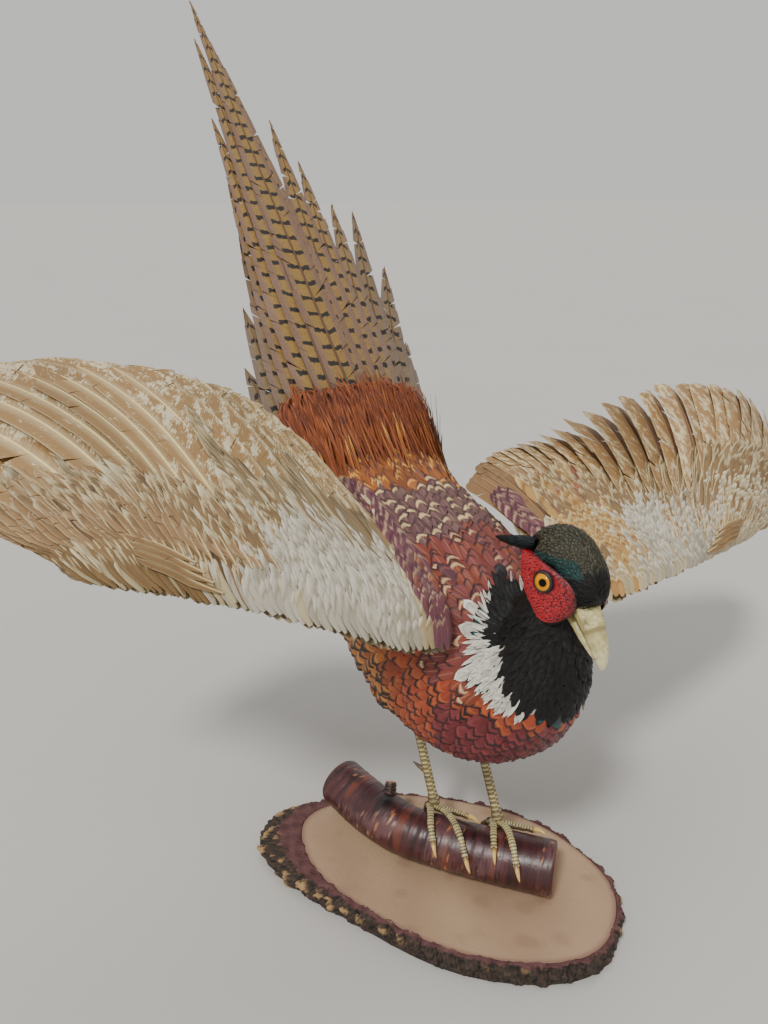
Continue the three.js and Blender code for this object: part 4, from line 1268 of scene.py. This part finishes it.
def addWattle(side):
    out = sides[side]
    v, u = np.meshgrid(np.linspace(0, 1, wattleForm["rows across"]),
                       np.linspace(-1, 1, wattleForm["rows along"]), indexing="ij")
    height, middle, half = np.moveaxis(throughRows(wattleForm["rows"], v), -1, 0)
    ahead = middle + half * u * (1 + 0.03 * ripple(np.stack([v, u, 0 * u], -1), 0.12, 21))
    bulge = np.sqrt(np.clip(1 - np.abs(u) ** 3.2, 0, 1)) * smooth(0, 0.06, v) * smooth(1, 0.94, v)
    warts = np.random.default_rng(31)
    pitch = wattleForm["wart"]
    seeds = np.stack(np.meshgrid(np.arange(-28, 26, pitch), np.arange(-27, 17, pitch)), -1).reshape(-1, 2)
    seeds = seeds + warts.uniform(-0.42 * pitch, 0.42 * pitch, seeds.shape)
    tree = treeOf(np.c_[seeds, np.zeros(len(seeds))])
    near = np.array([tree.find((a, h, 0))[2] for a, h in zip(ahead.flat, height.flat)]).reshape(u.shape)
    wart = np.clip(1 - (near / (0.6 * pitch)) ** 2, 0, 1)
    clearOfEye = bulge * smooth(6, 9, np.hypot(ahead - eyeForm["place"][1], height - eyeForm["place"][2]))
    lift = (0.9 + 0.035 * half) * bulge - 1.6 * (1 - bulge)
    lift = lift + wattleForm["height"] * (wart - 0.3) * clearOfEye
    lift = lift + 0.35 * ripple(np.stack([ahead, height, 0 * u], -1), 7, 4) * clearOfEye
    places = np.stack([onFace(out, ahead, height) + lift, ahead, height], -1)
    off = places - eyeForm["place"]  # near the eye the skin dips under the lids
    far = np.linalg.norm(off, axis=-1)
    angle = np.degrees(np.arccos(np.clip((off / far[..., None]) @ unit(np.array(eyeForm["way"])), -1, 1)))
    limit = eyeForm["radius"] - 0.8 + 7 * smooth(56, 74, angle) + 60 * smooth(72, 78, angle)
    places = eyeForm["place"] + off * np.minimum(1, limit / far)[..., None]
    places = places * (out, 1, 1) * mm
    # Painted light: the dark deep tone between the warts and towards the edge is painted shade, and the pale
    # pink on the wart tops is painted highlight.
    colour = layered(wattleForm["deep"], (wattleForm["tone"], smooth(-0.15, 0.5, wart) * bulge),
                     (wattleForm["wartHighlight"], 0.45 * smooth(0.7, 1.0, wart) * bulge),
                     ("2a1a20", smooth(64, 58, angle)))
    faces = gridQuads(*u.shape)[:, ::-out]
    form = (fromHead(places.reshape(-1, 3)), faces, {}, {"base": colour.reshape(-1, 3)})
    recipe = grainyMaterial("wattlePaint_" + side, 1400, 3, 0.7, (0.9, 0.55), 0.8, 0.0006, Roughness=0.3,
                            Subsurface_Weight=0.08, Subsurface_Scale=0.002, Coat_Weight=0.25,
                            Coat_Roughness=0.2)
    addPiece("wattle_skin_" + side, form, recipe.material, "wattle", ("wattle_" + side,))


def addEye(side):
    mirror = np.array([sides[side], 1, 1])
    place = np.array(eyeForm["place"]) * mirror
    form = bmesh.new()
    bmesh.ops.create_uvsphere(form, u_segments=64, v_segments=40, radius=eyeForm["radius"] * mm)
    bmesh.ops.translate(form, verts=form.verts, vec=Vector(fromHead(place * mm)))
    look = unit(np.array(eyeForm["pupilWay"]) * mirror)
    front = fromHead((place + look * eyeForm["radius"]) * mm)
    recipe = Recipe("eyeGlass_" + side, Roughness=0.08, Specular_IOR_Level=0.1, Coat_Weight=0.15,
                    Coat_Roughness=0.03)
    far = recipe.put("VectorMath", {0: recipe.place(), 1: tuple(front)}, "Value", operation="DISTANCE")
    ring = far + recipe.noise(1500, 3, rough=0.7) * 0.0004 - 0.0002
    pupil, iris = eyeForm["pupil"] / 8, eyeForm["iris"] / 8
    colour = recipe.ramp(ring * (1000 / 8), (0.0, (0.001, 0.001, 0.001)), (pupil, (0.002, 0.002, 0.001)),
                         (pupil + 0.03, "9c5c08"), (pupil + 0.12, "dc980c"), (iris - 0.06, "cf8608"),
                         (iris + 0.1, "3a1c06"))
    addFromBmesh("eye_ball_" + side, form, recipe.paint(colour), "eye", ("eye_" + side,))
    turn = around(72)
    way = unit(np.array(eyeForm["way"]))
    rise = unit(np.array([0, 0, 1.0]) - way * way[2])
    ring = np.cross(rise, way) * np.cos(turn)[:, None] + rise * np.sin(turn)[:, None]
    corner = eyeForm["corner"] * np.clip(np.cos(turn - math.radians(150)), 0, 1) ** 9
    rows = []
    for angle, lift in eyeForm["lids"]:
        wide = np.radians(angle + corner * (angle > 40) * (1 if angle < 60 else 0.5))[:, None]
        spots = eyeForm["place"] + (way * np.cos(wide) + ring * np.sin(wide)) * (eyeForm["radius"] + lift)
        rows.append(spots * mirror)
    rim = fromHead(np.array(rows).reshape(-1, 3) * mm)
    colour = blendTone("121016", "38202a", 0.5 + 0.5 * ripple(rim, 0.002, 6))
    faces = gridQuads(len(rows), 72, closed=True)[:, ::sides[side]]
    addPiece("eyelid_" + side, (rim, faces, {}, {"base": colour}),
             tintedMaterial("lidSkin_" + side, 1800, 0.3, Roughness=0.45), "wattle")


# Bill: two lofted horn shells. Rows: ahead, up, half width, above, below in mm of the head's own frame.
billRows = {
    "upper": [(13, -9, 7.6, 6.5, 4), (20, -15.5, 7, 6, 3.6), (25.5, -22.5, 5.8, 5.2, 3.2),
              (29.2, -29, 4.5, 4.2, 2.8), (31.2, -34, 3.0, 2.7, 2.2), (31.6, -37.4, 1.5, 1.3, 1.0)],
    "lower": [(9, -17, 6.4, 3, 3), (17, -23.5, 5.6, 2.6, 2.6), (23.5, -30, 3.6, 2, 2),
              (26.5, -34, 1.4, 1, 1)],
}


def addBill():
    paint = tintedMaterial("billHorn", 600, 0.16, 1100, Roughness=0.38, Coat_Weight=0.2, Coat_Roughness=0.3)
    wide, rise = np.cos(around(60)), np.sin(around(60))
    for part, rows in billRows.items():
        t = np.linspace(0, 1, 90)
        row = throughRows(rows, t)
        way = unit(np.gradient(row[:, :2], axis=0))
        tall = np.where(rise > 0, row[:, 3:4], row[:, 4:5]) * rise * (1 + 0.05 * np.clip(rise, 0, 1) ** 8)
        across = row[:, 2:3] * np.sign(wide) * np.abs(wide) ** 0.95
        places = np.stack([across, row[:, :1] - way[:, 1:] * tall, row[:, 1:2] + way[:, :1] * tall], -1)
        along = np.broadcast_to(t[:, None], tall.shape)
        base = blendTone("a89a62", "d6cd9c", smooth(0.25, 0.75, along + 0.12 * ripple(places, 5, 12)))
        stain = smooth(0.25, 0.9, ripple(places, 3.2, 14)) * smooth(0.95, 0.6, along)
        base = blendTone(base, "7a6c3c", 0.5 * stain * smooth(0.3, 0.6, along))
        lump = 0.07 * ripple(places, 4, 23)
        if part == "upper":
            crust = smooth(0.34, 0.26, along + 0.03 * ripple(places, 2, 16)) * smooth(0.2, 0.5, rise)
            base = layered(base, ("c9bd86", crust),
                           ("7c6c42", 0.7 * smooth(0.36, 0.33, along) * smooth(0.28, 0.31, along)))
            nostril = np.exp(-(((along - 0.22) / 0.04) ** 2) - ((np.abs(wide) - 0.8) / 0.16) ** 2)
            nostril = nostril * (rise > 0)
            lump = lump + 0.75 * crust * (0.5 + ripple(places, 2.6, 17)) - 0.9 * nostril
            base = blendTone(base, "3c2e1c", np.clip(nostril, 0, 1) * 0.7)
        middle = np.stack([0 * t, row[:, 0], row[:, 1]], 1)[:, None]
        places = places + unit(places - middle) * lump[..., None]
        form = newForm()
        loftInto(form, fromHead(places.reshape(-1, 3) * mm).reshape(places.shape), base)
        addFromBmesh("bill_horn_" + part, form, paint, "bill", ("bill_" + part,))


earTuft = {"curve": [(12, -12, 17), (14.5, -25, 14.5), (15.5, -38, 11.5), (15, -50, 9)], "count": 300,
           "radius": 4.3}


def addEarTufts():
    paint = smallFeatherMaterial("earFeather", Roughness=0.5, Specular_IOR_Level=0.35)
    for side, out in sides.items():
        curve = curveThrough([(out * x, ahead, height) for x, ahead, height in earTuft["curve"]])
        curve = fromHead(curve * mm)
        _, beside, above = framesAlong(curve, headUp)
        count = earTuft["count"]
        start = dice.uniform(0, 0.72, count) ** 1.15
        turn = dice.uniform(0, 2 * math.pi, count)[:, None]
        size = dice.uniform(0.35, 1.0, count) ** 0.5
        length = dice.uniform(0.28, 0.42, count)

        def placeAt(part):
            t = np.clip(start + length * part, 0, 1)
            i = (t * (len(curve) - 1)).astype(int)
            outward = beside[i] * np.cos(turn) + above[i] * np.sin(turn)
            radius = (earTuft["radius"] * (1 - t) ** 0.7 + 0.25) * size * mm * (0.7 + 0.3 * smooth(0, 0.2, t))
            return curve[i] + outward * radius[:, None], outward

        width = dice.uniform(1.1, 1.9, count) * mm
        lie = lieFrom(placeAt, width, np.tile([0.0, 0.0002], (count, 1)), dice.normal(0, 0.2, count))
        chance = dice.random(count)
        base = blendTone("06080c", "0c1820", chance)
        look = {"base": base, "edge": base * 0.6, "mark": blendTone(base, "163840", chance),
                "edgeWidth": np.full(count, 0.15), "markSize": np.full(count, 0.4),
                "shade": dice.uniform(0.8, 1.2, count), "bake": mapPlaces(lie["root"])}
        addPiece("ear_tuft_feathers_" + side, leafFeathers(lie, look, columns=3, pointed=0.8, ragged=0.05),
                 paint, "head_feather", ("ear_tuft_" + side,))


# The perch: a bent piece of cherry with a cut twig.
perchForm = {"curve": [(-36, 96, 39.9), (-30, 69, 36.9), (-19.9, 36.1, 35.9), (2, 4, 35.9),
                       (25.5, -22.5, 35.9), (50, -48.8, 35.9)],
             "radius": 18.5, "rings": 260, "sides": 96, "points": 400,
             "twig": (0.3, (0.45, 0.5, 1), 4, 8)}  # share along, way, radius and reach out of the bark
perchLine = curveThrough(perchForm["curve"], perchForm["points"])
perchLength = distances(perchLine)[-1]


def onPerch(along, angle, clearance):
    share = np.asarray(along, float) / perchLength * (len(perchLine) - 1)
    way = readAt(unit(np.gradient(perchLine, axis=0)), share)
    across = unit(np.stack([way[..., 1], -way[..., 0], 0 * way[..., 0]], -1))
    turn = np.radians(angle)[..., None]
    outward = across * np.sin(turn) + np.array([0, 0, 1.0]) * np.cos(turn)
    return readAt(perchLine, share) + (perchForm["radius"] + clearance) * outward


def addPerch():
    path = evenly(perchLine, perchForm["rings"])
    t = np.linspace(0, 1, perchForm["rings"])
    turn = around(perchForm["sides"])
    thick = perchForm["radius"]
    flat = (t[:, None] * perchLength, thick * np.cos(turn), thick * np.sin(turn))
    flat = np.stack(np.broadcast_arrays(*flat), -1)
    stretched = flat * (1.0, 0.16, 0.16)
    bands = ripple(stretched, 7, 41)
    fine = ripple(stretched, 2.2, 42)
    broad = ripple(flat, 34, 43)
    pores = smooth(0.75, 1.2, ripple(flat * (1.0, 0.3, 0.3), 2.6, 45)) * smooth(-0.2, 0.5, broad)
    place, lean, twigThick, reach = perchForm["twig"]
    knot = np.exp(-(((flat[..., 0] - place * perchLength) / 7) ** 2) - ((turn - 1.45) / 0.5) ** 2)
    radius = thick - 0.75 + 0.5 * np.sin(9 * t)[:, None]
    radius = radius + 0.16 * bands + 0.08 * fine + 0.25 * broad + 0.3 * pores
    rounding = 1 - np.minimum(1, np.minimum(t, 1 - t) / 0.006)[:, None]
    radius = radius + 1.6 * knot - 0.5 * rounding**2
    rings = tubeRings(path * mm, radius * mm, np.array([0, 0, 1.0]), len(turn))
    # The pale grey-mauve patches (6e4c4e) are painted sheen of the glossy bark, laid at random.
    colour = layered("280f13", ("4e2224", 0.5 + 0.5 * bands),
                     ("6e4c4e", 0.6 * smooth(0.1, 0.9, broad + 0.4 * fine)),
                     ("7c3c24", 0.5 * smooth(0.5, 1.0, ripple(stretched, 16, 46))),
                     ("27171a", 0.7 * smooth(0.3, 1.0, ripple(flat, 22, 47))),
                     ("b27a4a", 0.75 * pores),
                     ("14100f", np.clip(knot * 1.1, 0, 1)))
    form = newForm()
    loftInto(form, rings, colour)
    root = perchLine[int(place * (len(perchLine) - 1))]
    run = np.linspace(14, thick + reach, 26)
    size = twigThick * (1 + 0.5 * np.exp(-(run - 16) / 3)) + 0.35 * np.sin(run * 2.4)
    size[-1] *= 0.8
    stub = tubeRings((root + run[:, None] * unit(np.array(lean))) * mm, size * mm, np.array([1.0, 0, 0]), 28)
    stubTone = blendTone("1c1412", "4a2c22", 0.5 + 0.5 * ripple(stub, 0.004, 48))
    stubTone[-1] = tone("b8743c")
    loftInto(form, stub, stubTone)
    recipe = grainyMaterial("cherryBark", 500, 4, 0.65, (0.7, 0.65), 0.35, 0.0005, Coat_Weight=0.2,
                            Coat_Roughness=0.35)
    recipe.feed(recipe.skin.inputs["Roughness"], recipe.noise(90, 4, rough=0.6) * 0.5 + 0.14)
    addFromBmesh("perch_bark", form, recipe.material, "cherry_bark", ("perch_branch",))
    ends = newForm()
    ahead = unit(np.gradient(path, axis=0))
    sizes = np.linspace(0.02, 1, 14)[:, None, None]
    for end, inward in ((0, 1), (-1, -1)):
        middle = path[end] * mm
        disc = (middle + (rings[end] - middle) * sizes * 0.985
                + ahead[end] * inward * (0.0012 * (sizes > 0.99) - 0.0003))
        shade = blendTone("a86a3c", "7c4424", 0.5 + 0.5 * np.sin(sizes[..., 0] * 40))
        shade[-2:] = tone("4c2418")
        loftInto(ends, disc, shade)
    addFromBmesh("perch_cut_ends", ends, tintedMaterial("cutWood", 900, 0.2, Roughness=0.6), "slice_wood",
                 ("perch_branch",))
    print("perch")


# Feet. Rows of toes: distance along the perch and angle round it. Outer, middle, inner and hind.
footForm = {
    "right": {"ball": (85, -36), "hock": (1, 52, 118),
              "toes": [[(81, -36), (86, -5), (90, 24), (95, 54)],
                       [(84, -36), (97, -16), (109, 22), (117, 66)],
                       [(86, -38), (95, -42), (104, -38), (112, -27)],
                       [(79, -44), (76, -66), (74, -86), (73, -102)]]},
    "left": {"ball": (132, -38), "hock": (31, 21, 118),
             "toes": [[(128, -38), (130, -12), (132, 16), (134, 40)],
                      [(131, -38), (139, -12), (145, 22), (150, 60)],
                      [(133, -40), (141, -46), (149, -45), (157, -38)],
                      [(126, -46), (122, -68), (119, -88), (118, -102)]]},
}
legTones = {"plate": "78683e", "edge": "ccc08e", "groove": "241c12", "back": "584a30"}


# Rings of a scaly limb: plates over its front, each raised at its lower edge, and pads or grains behind.
def scaled(path, size, front, turn, plate, inPlate, lift, edge, groove, flat=1.0):
    _, side, up = framesAlong(path, front)
    colour = layered(legTones["back"], (legTones["plate"], plate + 0 * inPlate),
                     (legTones["edge"], plate * smooth(*edge, inPlate)),
                     (legTones["groove"], plate * smooth(groove, 0.0, inPlate) * 0.9))
    return ringsRound(path, side, up, size[:, None] + lift, turn, flat) * mm, colour


def addClaw(claws, spots, away):
    ahead = unit(spots[-1] - spots[-4])
    start = spots[-1] - ahead * 2.2
    bend = start + ahead * 6.2
    tip = start + ahead * 10.8 - away * 1.6
    s = np.linspace(0, 1, 26)[:, None]
    curve = start * (1 - s) ** 2 + 2 * bend * s * (1 - s) + tip * s**2 + away * 0.9 * np.sin(math.pi * s)
    nails = tubeRings(curve * mm, (1.75 * (1 - s) ** 0.7 + 0.12) * mm, away, 20, flat=1.15)
    nailTone = blendTone("6a4a24", "d8b468", smooth(0.0, 0.35, s))
    loftInto(claws, nails, blendTone(nailTone, "a87a3a", 0.5 * smooth(0.7, 1.0, s)))


def addLegs():
    skin = tintedMaterial("legSkin", 900, 0.2, 1500, Roughness=0.42, Coat_Weight=0.15, Coat_Roughness=0.3)
    horn = tintedMaterial("clawHorn", 700, 0.15, 900, Roughness=0.32, Coat_Weight=0.3, Coat_Roughness=0.2)
    for side, form in footForm.items():
        flesh, claws = newForm(), newForm()
        ball = onPerch(*form["ball"], 4.1)
        hock = np.array(form["hock"], float)
        t = np.linspace(0, 1, 170)
        start = hock + unit(hock - ball) * 10
        radius = 3.0 * (1 + 0.42 * smooth(0.3, 0.0, t) ** 2) + 1.15 * smooth(0.86, 0.98, t)
        radius = radius * roundEnd(t, 0.975, 0.0251) + 0.05
        loftInto(flesh, *scaledShank(start + (ball - start) * t[:, None], radius, np.array([0.1, -1.0, 0.3])))
        t = np.linspace(0, 1, 80)
        for k, toe in enumerate(form["toes"]):
            spots = curveThrough([onPerch(along, angle, 2.75) for along, angle in toe], 80)
            size = 2.5 * (1 - 0.3 * t) + 0.132 * np.cos(2 * math.pi * (3.2 if k != 3 else 2) * t)
            size = size * roundEnd(t, 0.95, 0.0501) + 0.05
            below = np.argmin(np.linalg.norm(spots[:, None] - perchLine, axis=2), axis=1)
            away = unit(spots - perchLine[below])
            loftInto(flesh, *scaledToe(spots, size, away))
            addClaw(claws, spots, away[-1])
        root = ball + (hock - ball) * 0.35
        s = np.linspace(0, 1, 24)[:, None]
        spur = root + np.array([-sides[side] * 6.0, 10, 3]) * (s * 1.05 - 0.05) + np.array([0, 0, 1.3]) * s**2
        nails = tubeRings(spur * mm, (2.3 * (1 - s) ** 0.8 + 0.25) * mm, np.array([0, 0, 1.0]), 22)
        loftInto(claws, nails, blendTone("7a6238", "463420", smooth(0.1, 0.9, s)))
        addFromBmesh("leg_skin_" + side, flesh, skin, "leg_skin", (f"leg_{side}_shank", f"foot_{side}"))
        addFromBmesh("claws_" + side, claws, horn, "claw", [f"claw_{side}_{k + 1}" for k in range(4)])
    print("legs")


def scaledShank(path, size, front, pitch=3.1, columns=2):
    steps = distances(path)[:, None]
    turn = around(40)
    place = (np.cos(turn) + 1) / 2 * columns
    inPlate = (steps / pitch + 0.5 * (np.floor(place * 0.999) % 2)) % 1
    plate = smooth(-0.25, 0.15, np.sin(turn))
    small = 0.5 + 0.5 * np.cos(2 * math.pi * steps / (pitch * 0.45)) * np.cos(turn * 9)
    gap = smooth(0.8, 1.0, np.abs(place % 1 - 0.5) * 2)
    lift = plate * (0.3 * inPlate - 0.22 * gap) + (1 - plate) * 0.12 * small
    rings, colour = scaled(path, size, front, turn, plate, inPlate, lift, (0.5, 0.85), 0.16)
    spots = np.stack(np.broadcast_arrays(steps, 3 * np.cos(turn), 3 * np.sin(turn)), -1)
    return rings, blendTone(colour, "4a3826", 0.45 * smooth(0.1, 0.9, ripple(spots, 14, 52)))


def scaledToe(path, size, front):  # wide plates across the top, pads below
    steps = distances(path)[:, None]
    turn = around(26)
    inPlate = (steps / 2.1) % 1
    plate = smooth(-0.1, 0.25, np.sin(turn))
    pads = 0.5 + 0.5 * np.cos(steps * 2 * math.pi / 5.5)
    lift = plate * 0.26 * inPlate + (1 - plate) * 0.2 * pads
    return scaled(path, size, front, turn, plate, inPlate, lift, (0.35, 0.8), 0.25, 0.92)


# The slice of wood that it all stands on, with its bark.
sliceForm = {"thick": 17, "halfLength": 114, "halfWidth": 65, "turn": 127, "centre": (4, 3), "bark": 3,
             "lump": 30, "woodSteps": 240, "barkSteps": 620, "ringsPerMetre": 2600.0}


def sliceEdge(angle, grow=0.0):
    wave = 1 + 0.016 * np.sin(3 * angle + 0.6) + 0.008 * np.sin(7 * angle + 2)
    x = (sliceForm["halfLength"] * wave + grow) * np.cos(angle)
    y = (sliceForm["halfWidth"] * (1 - 0.09 * np.cos(angle)) * wave + grow) * np.sin(angle)
    turn = math.radians(sliceForm["turn"])
    return np.stack([x * math.cos(turn) - y * math.sin(turn) + sliceForm["centre"][0],
                     x * math.sin(turn) + y * math.cos(turn) + sliceForm["centre"][1]], -1)


def addSlice():
    edge = sliceEdge(around(sliceForm["woodSteps"]))
    centre = edge.mean(0)
    top = sliceForm["thick"]
    levels = [*((s, top) for s in np.linspace(0.01, 0.992, 60)), (0.999, top - 0.25), (1.0, top - 1),
              (1.0, 0.6), (0.995, 0), *((s, 0) for s in np.linspace(0.9, 0.01, 12))]
    rings = np.array([np.c_[centre + (edge - centre) * share, np.full(len(edge), float(height))]
                      for share, height in levels])
    share = np.array(levels)[:, :1]
    rings[..., 2] += np.where(rings[..., 2] > top - 0.1, 0.06 * ripple(rings, 40, 61) - 0.06, 0)
    colour = layered("a3866c", ("b39678", 0.5 + 0.5 * ripple(rings, 60, 62)),
                     ("8c6e58", 0.4 * smooth(0.3, 1.0, ripple(rings, 25, 63))),
                     ("8a6a58", smooth(0.965, 0.99, share)))
    form = newForm()
    loftInto(form, rings * mm, colour)
    recipe = Recipe("sliceWood", Roughness=0.62)
    shifted = recipe.put("Mapping", {"Vector": recipe.place(), "Location": (-0.02, 0.03, 0),
                                     "Rotation": (0, 0, -math.radians(sliceForm["turn"])),
                                     "Scale": (0.62, 1.0, 1.0)})
    flat = recipe.put("VectorMath", {0: shifted, 1: (1, 1, 0)}, operation="MULTIPLY")
    far = recipe.put("VectorMath", {0: flat}, "Value", operation="LENGTH") + recipe.noise(14, 2) * 0.006
    pores = recipe.noise(1900, 3, rough=0.7)
    light = recipe.calc("SINE", far * sliceForm["ringsPerMetre"]) * 0.018 + 0.82
    light = light + pores * 0.2 + recipe.noise(240, 3, rough=0.6) * 0.14
    paint = recipe.paint(recipe.bright(recipe.tint("base")[0], light), pores, 0.25, 0.0004)
    addFromBmesh("slice_wood", form, paint, "slice_wood", ("base_wood",))
    addBark()
    print("slice")


def addBark():
    count = sliceForm["barkSteps"]
    turn = around(count)
    inner = sliceEdge(turn, 0.25)
    outer = sliceEdge(turn, sliceForm["bark"])
    away = unit(outer - inner)
    lump = np.maximum(0, np.cos(turn - 0.2)) ** 5
    top = sliceForm["thick"]
    flare = 1 + sliceForm["lump"] * lump + np.maximum(0, -np.cos(turn)) ** 2
    line = [  # inward to outward and back: where it starts, how far out from there, and height
        (inner, 0, 0.0), (inner, 1.5 + 8 * lump, 0.0), (outer, 0.75 * flare, 2.0), (outer, flare, top * 0.4),
        (outer, 0.55 * flare + 6.3 * lump, top * 0.75), (outer, 14 * lump, top - 1.5),
        (outer, 9 * lump - 1, top - 0.2), (inner, 0.3, top + 0.05), (inner, 0, top - 0.3),
    ]
    keys = np.array([np.c_[edge + away * (0 * lump + far)[:, None], np.full(count, height)]
                     for edge, far, height in line])
    share = np.linspace(0, 1, 40)
    rings = np.stack([readAt(keys[:, i], share * (len(keys) - 1)) for i in range(count)])
    rough = smooth(0.12, 0.3, share) * smooth(1.0, 0.8, share)
    chunks = ripple(rings, 13, 71)
    cracks = np.abs(ripple(rings * (1, 1, 0.5), 9, 72))
    crumbs = ripple(rings, 3.4, 73)
    height = 1.9 * chunks + 2.2 * np.minimum(cracks, 0.5) - 1.4 + 0.7 * crumbs
    rings[..., :2] += away[:, None] * (height * rough)[..., None]
    rings[..., 2] += 0.35 * crumbs * rough
    onTop = smooth(top - 2.4, top - 0.8, rings[..., 2])
    # The near-black in the cracks (0f0c0b) is painted shade in the grooves.
    colour = layered("211a17", ("4a3a30", np.clip(0.5 + 0.6 * crumbs, 0, 1)),
                     ("0f0c0b", smooth(0.16, 0.02, cracks)))
    flake = smooth(0.35, 0.75, chunks + 0.35 * crumbs)
    flake = flake * smooth(0.2, 0.6, ripple(rings, 34, 74) + lump[:, None])
    colour = blendTone(colour, "a8875c", flake * (1 - onTop))
    rimTone = blendTone("4c2a2c", "6a4644", np.clip(0.5 + 0.5 * ripple(rings, 9, 75), 0, 1))
    colour = blendTone(colour, rimTone, onTop * 0.95)
    rings[..., 2] = np.clip(rings[..., 2], 0, top + 0.2)
    form = newForm()
    loftInto(form, rings * mm, colour, closed=True)
    paint = tintedMaterial("sliceBark", 700, 0.3, 420, strength=0.8, distance=0.0012, Roughness=0.85)
    addFromBmesh("slice_bark", form, paint, "slice_bark", ("base_bark",))


def addSkin():
    whole = shell.copy()
    for side in sides:
        merge(whole, armLoft(side))
    whole = remeshed(whole, bodyForm["grain"], 3)
    spots, normals = vertsOf(whole)
    faces = [[v.index for v in face.verts] for face in whole.faces]
    whole.free()
    look = coatLook(spots, normals, spread=0.0, shades=(1, 1))
    bake = look["bake"] * (0.74, 1)
    onArm = smooth(0.0015, 0.003, np.array([shellTree.find_nearest(Vector(p))[3] for p in spots]))
    base = blendTone(look["base"], "b8a888", onArm)
    a, b = (v.ravel() for v in np.meshgrid(np.linspace(0, 0.95, 60), np.linspace(0, 0.34, 12), indexing="ij"))
    for k, side in enumerate(sides):  # each arm has its own strip of the map
        tree = treeOf(wingAt(side, a, b)[0])
        mine = np.flatnonzero((onArm > 0.5) & ((spots[:, 0] < 0.02) == (side == "right")))
        near = [tree.find(spots[i])[1] for i in mine]
        bake[mine] = np.stack([0.8 + 0.1 * k + 0.2 * b[near], 0.01 + 0.98 * a[near]], 1)
    recipe = grainyMaterial("skinPaint", 700, 4, 0.7, (0.8, 0.3), 0.6, 0.0006, Roughness=0.6)
    addPiece("skin", (spots, faces, {"OFBake": bake}, {"base": base}), recipe.material, "body_feather",
             fleshNodes + ("wing_right_arm", "wing_left_arm"))


flightPaint = flightMaterial()
covertPaint = smallFeatherMaterial("covertFeather", Roughness=0.6)
loopPaint = smallFeatherMaterial("loopFeather", bend=(6.0, 0.75), Roughness=0.6)
for side in sides:
    addWing(side, flightPaint, covertPaint, loopPaint)
addTail()
for side in sides:
    addWattle(side)
    addEye(side)
addEarTufts()
addBill()
addPerch()
addLegs()
addSlice()
addCoat()
addSkin()


def addFloorAndLights():
    stand = {"floor": 60.0, "tones": ("bcbab6", "c2c0bc"), "sky": 0.7, "skyTone": (0.99, 0.98, 0.96, 1)}
    lamps = (
        # name, where it shines from, strength, softness in degrees, tone
        ("key", (-1.3, -0.9, 1.9), 2.3, 9, (1.0, 0.98, 0.94)),
        ("top", (0.3, 0.5, 2.2), 0.4, 30, (1.0, 1.0, 1.0)),
    )
    sheet = bmesh.new()
    bmesh.ops.create_grid(sheet, x_segments=1, y_segments=1, size=stand["floor"] / 2)
    mesh = bpy.data.meshes.new("floor")
    sheet.to_mesh(mesh)
    sheet.free()
    recipe = Recipe("floorPaint", Roughness=0.85)
    colour = recipe.mix(recipe.noise(3, 3), *(tone(code) for code in stand["tones"]))
    mesh.materials.append(recipe.paint(colour))
    floor = linked("floor", mesh)
    floor.location.z = -0.0002
    floor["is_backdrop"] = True
    for name, place, power, softness, colour in lamps:
        data = bpy.data.lights.new(name, "SUN")
        data.energy, data.angle, data.color = power, math.radians(softness), colour
        lamp = linked(name, data)
        lamp.location = place
        lamp.rotation_euler = (-Vector(place)).to_track_quat("-Z", "Y").to_euler()
    world = bpy.context.scene.world or bpy.data.worlds.new("world")
    bpy.context.scene.world = world
    world.use_nodes = True
    back = world.node_tree.nodes["Background"]
    back.inputs[0].default_value = stand["skyTone"]
    back.inputs[1].default_value = stand["sky"]


addFloorAndLights()
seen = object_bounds()
print("size", [[round(x, 4) for x in corner] for corner in (*cadBox, *seen)])
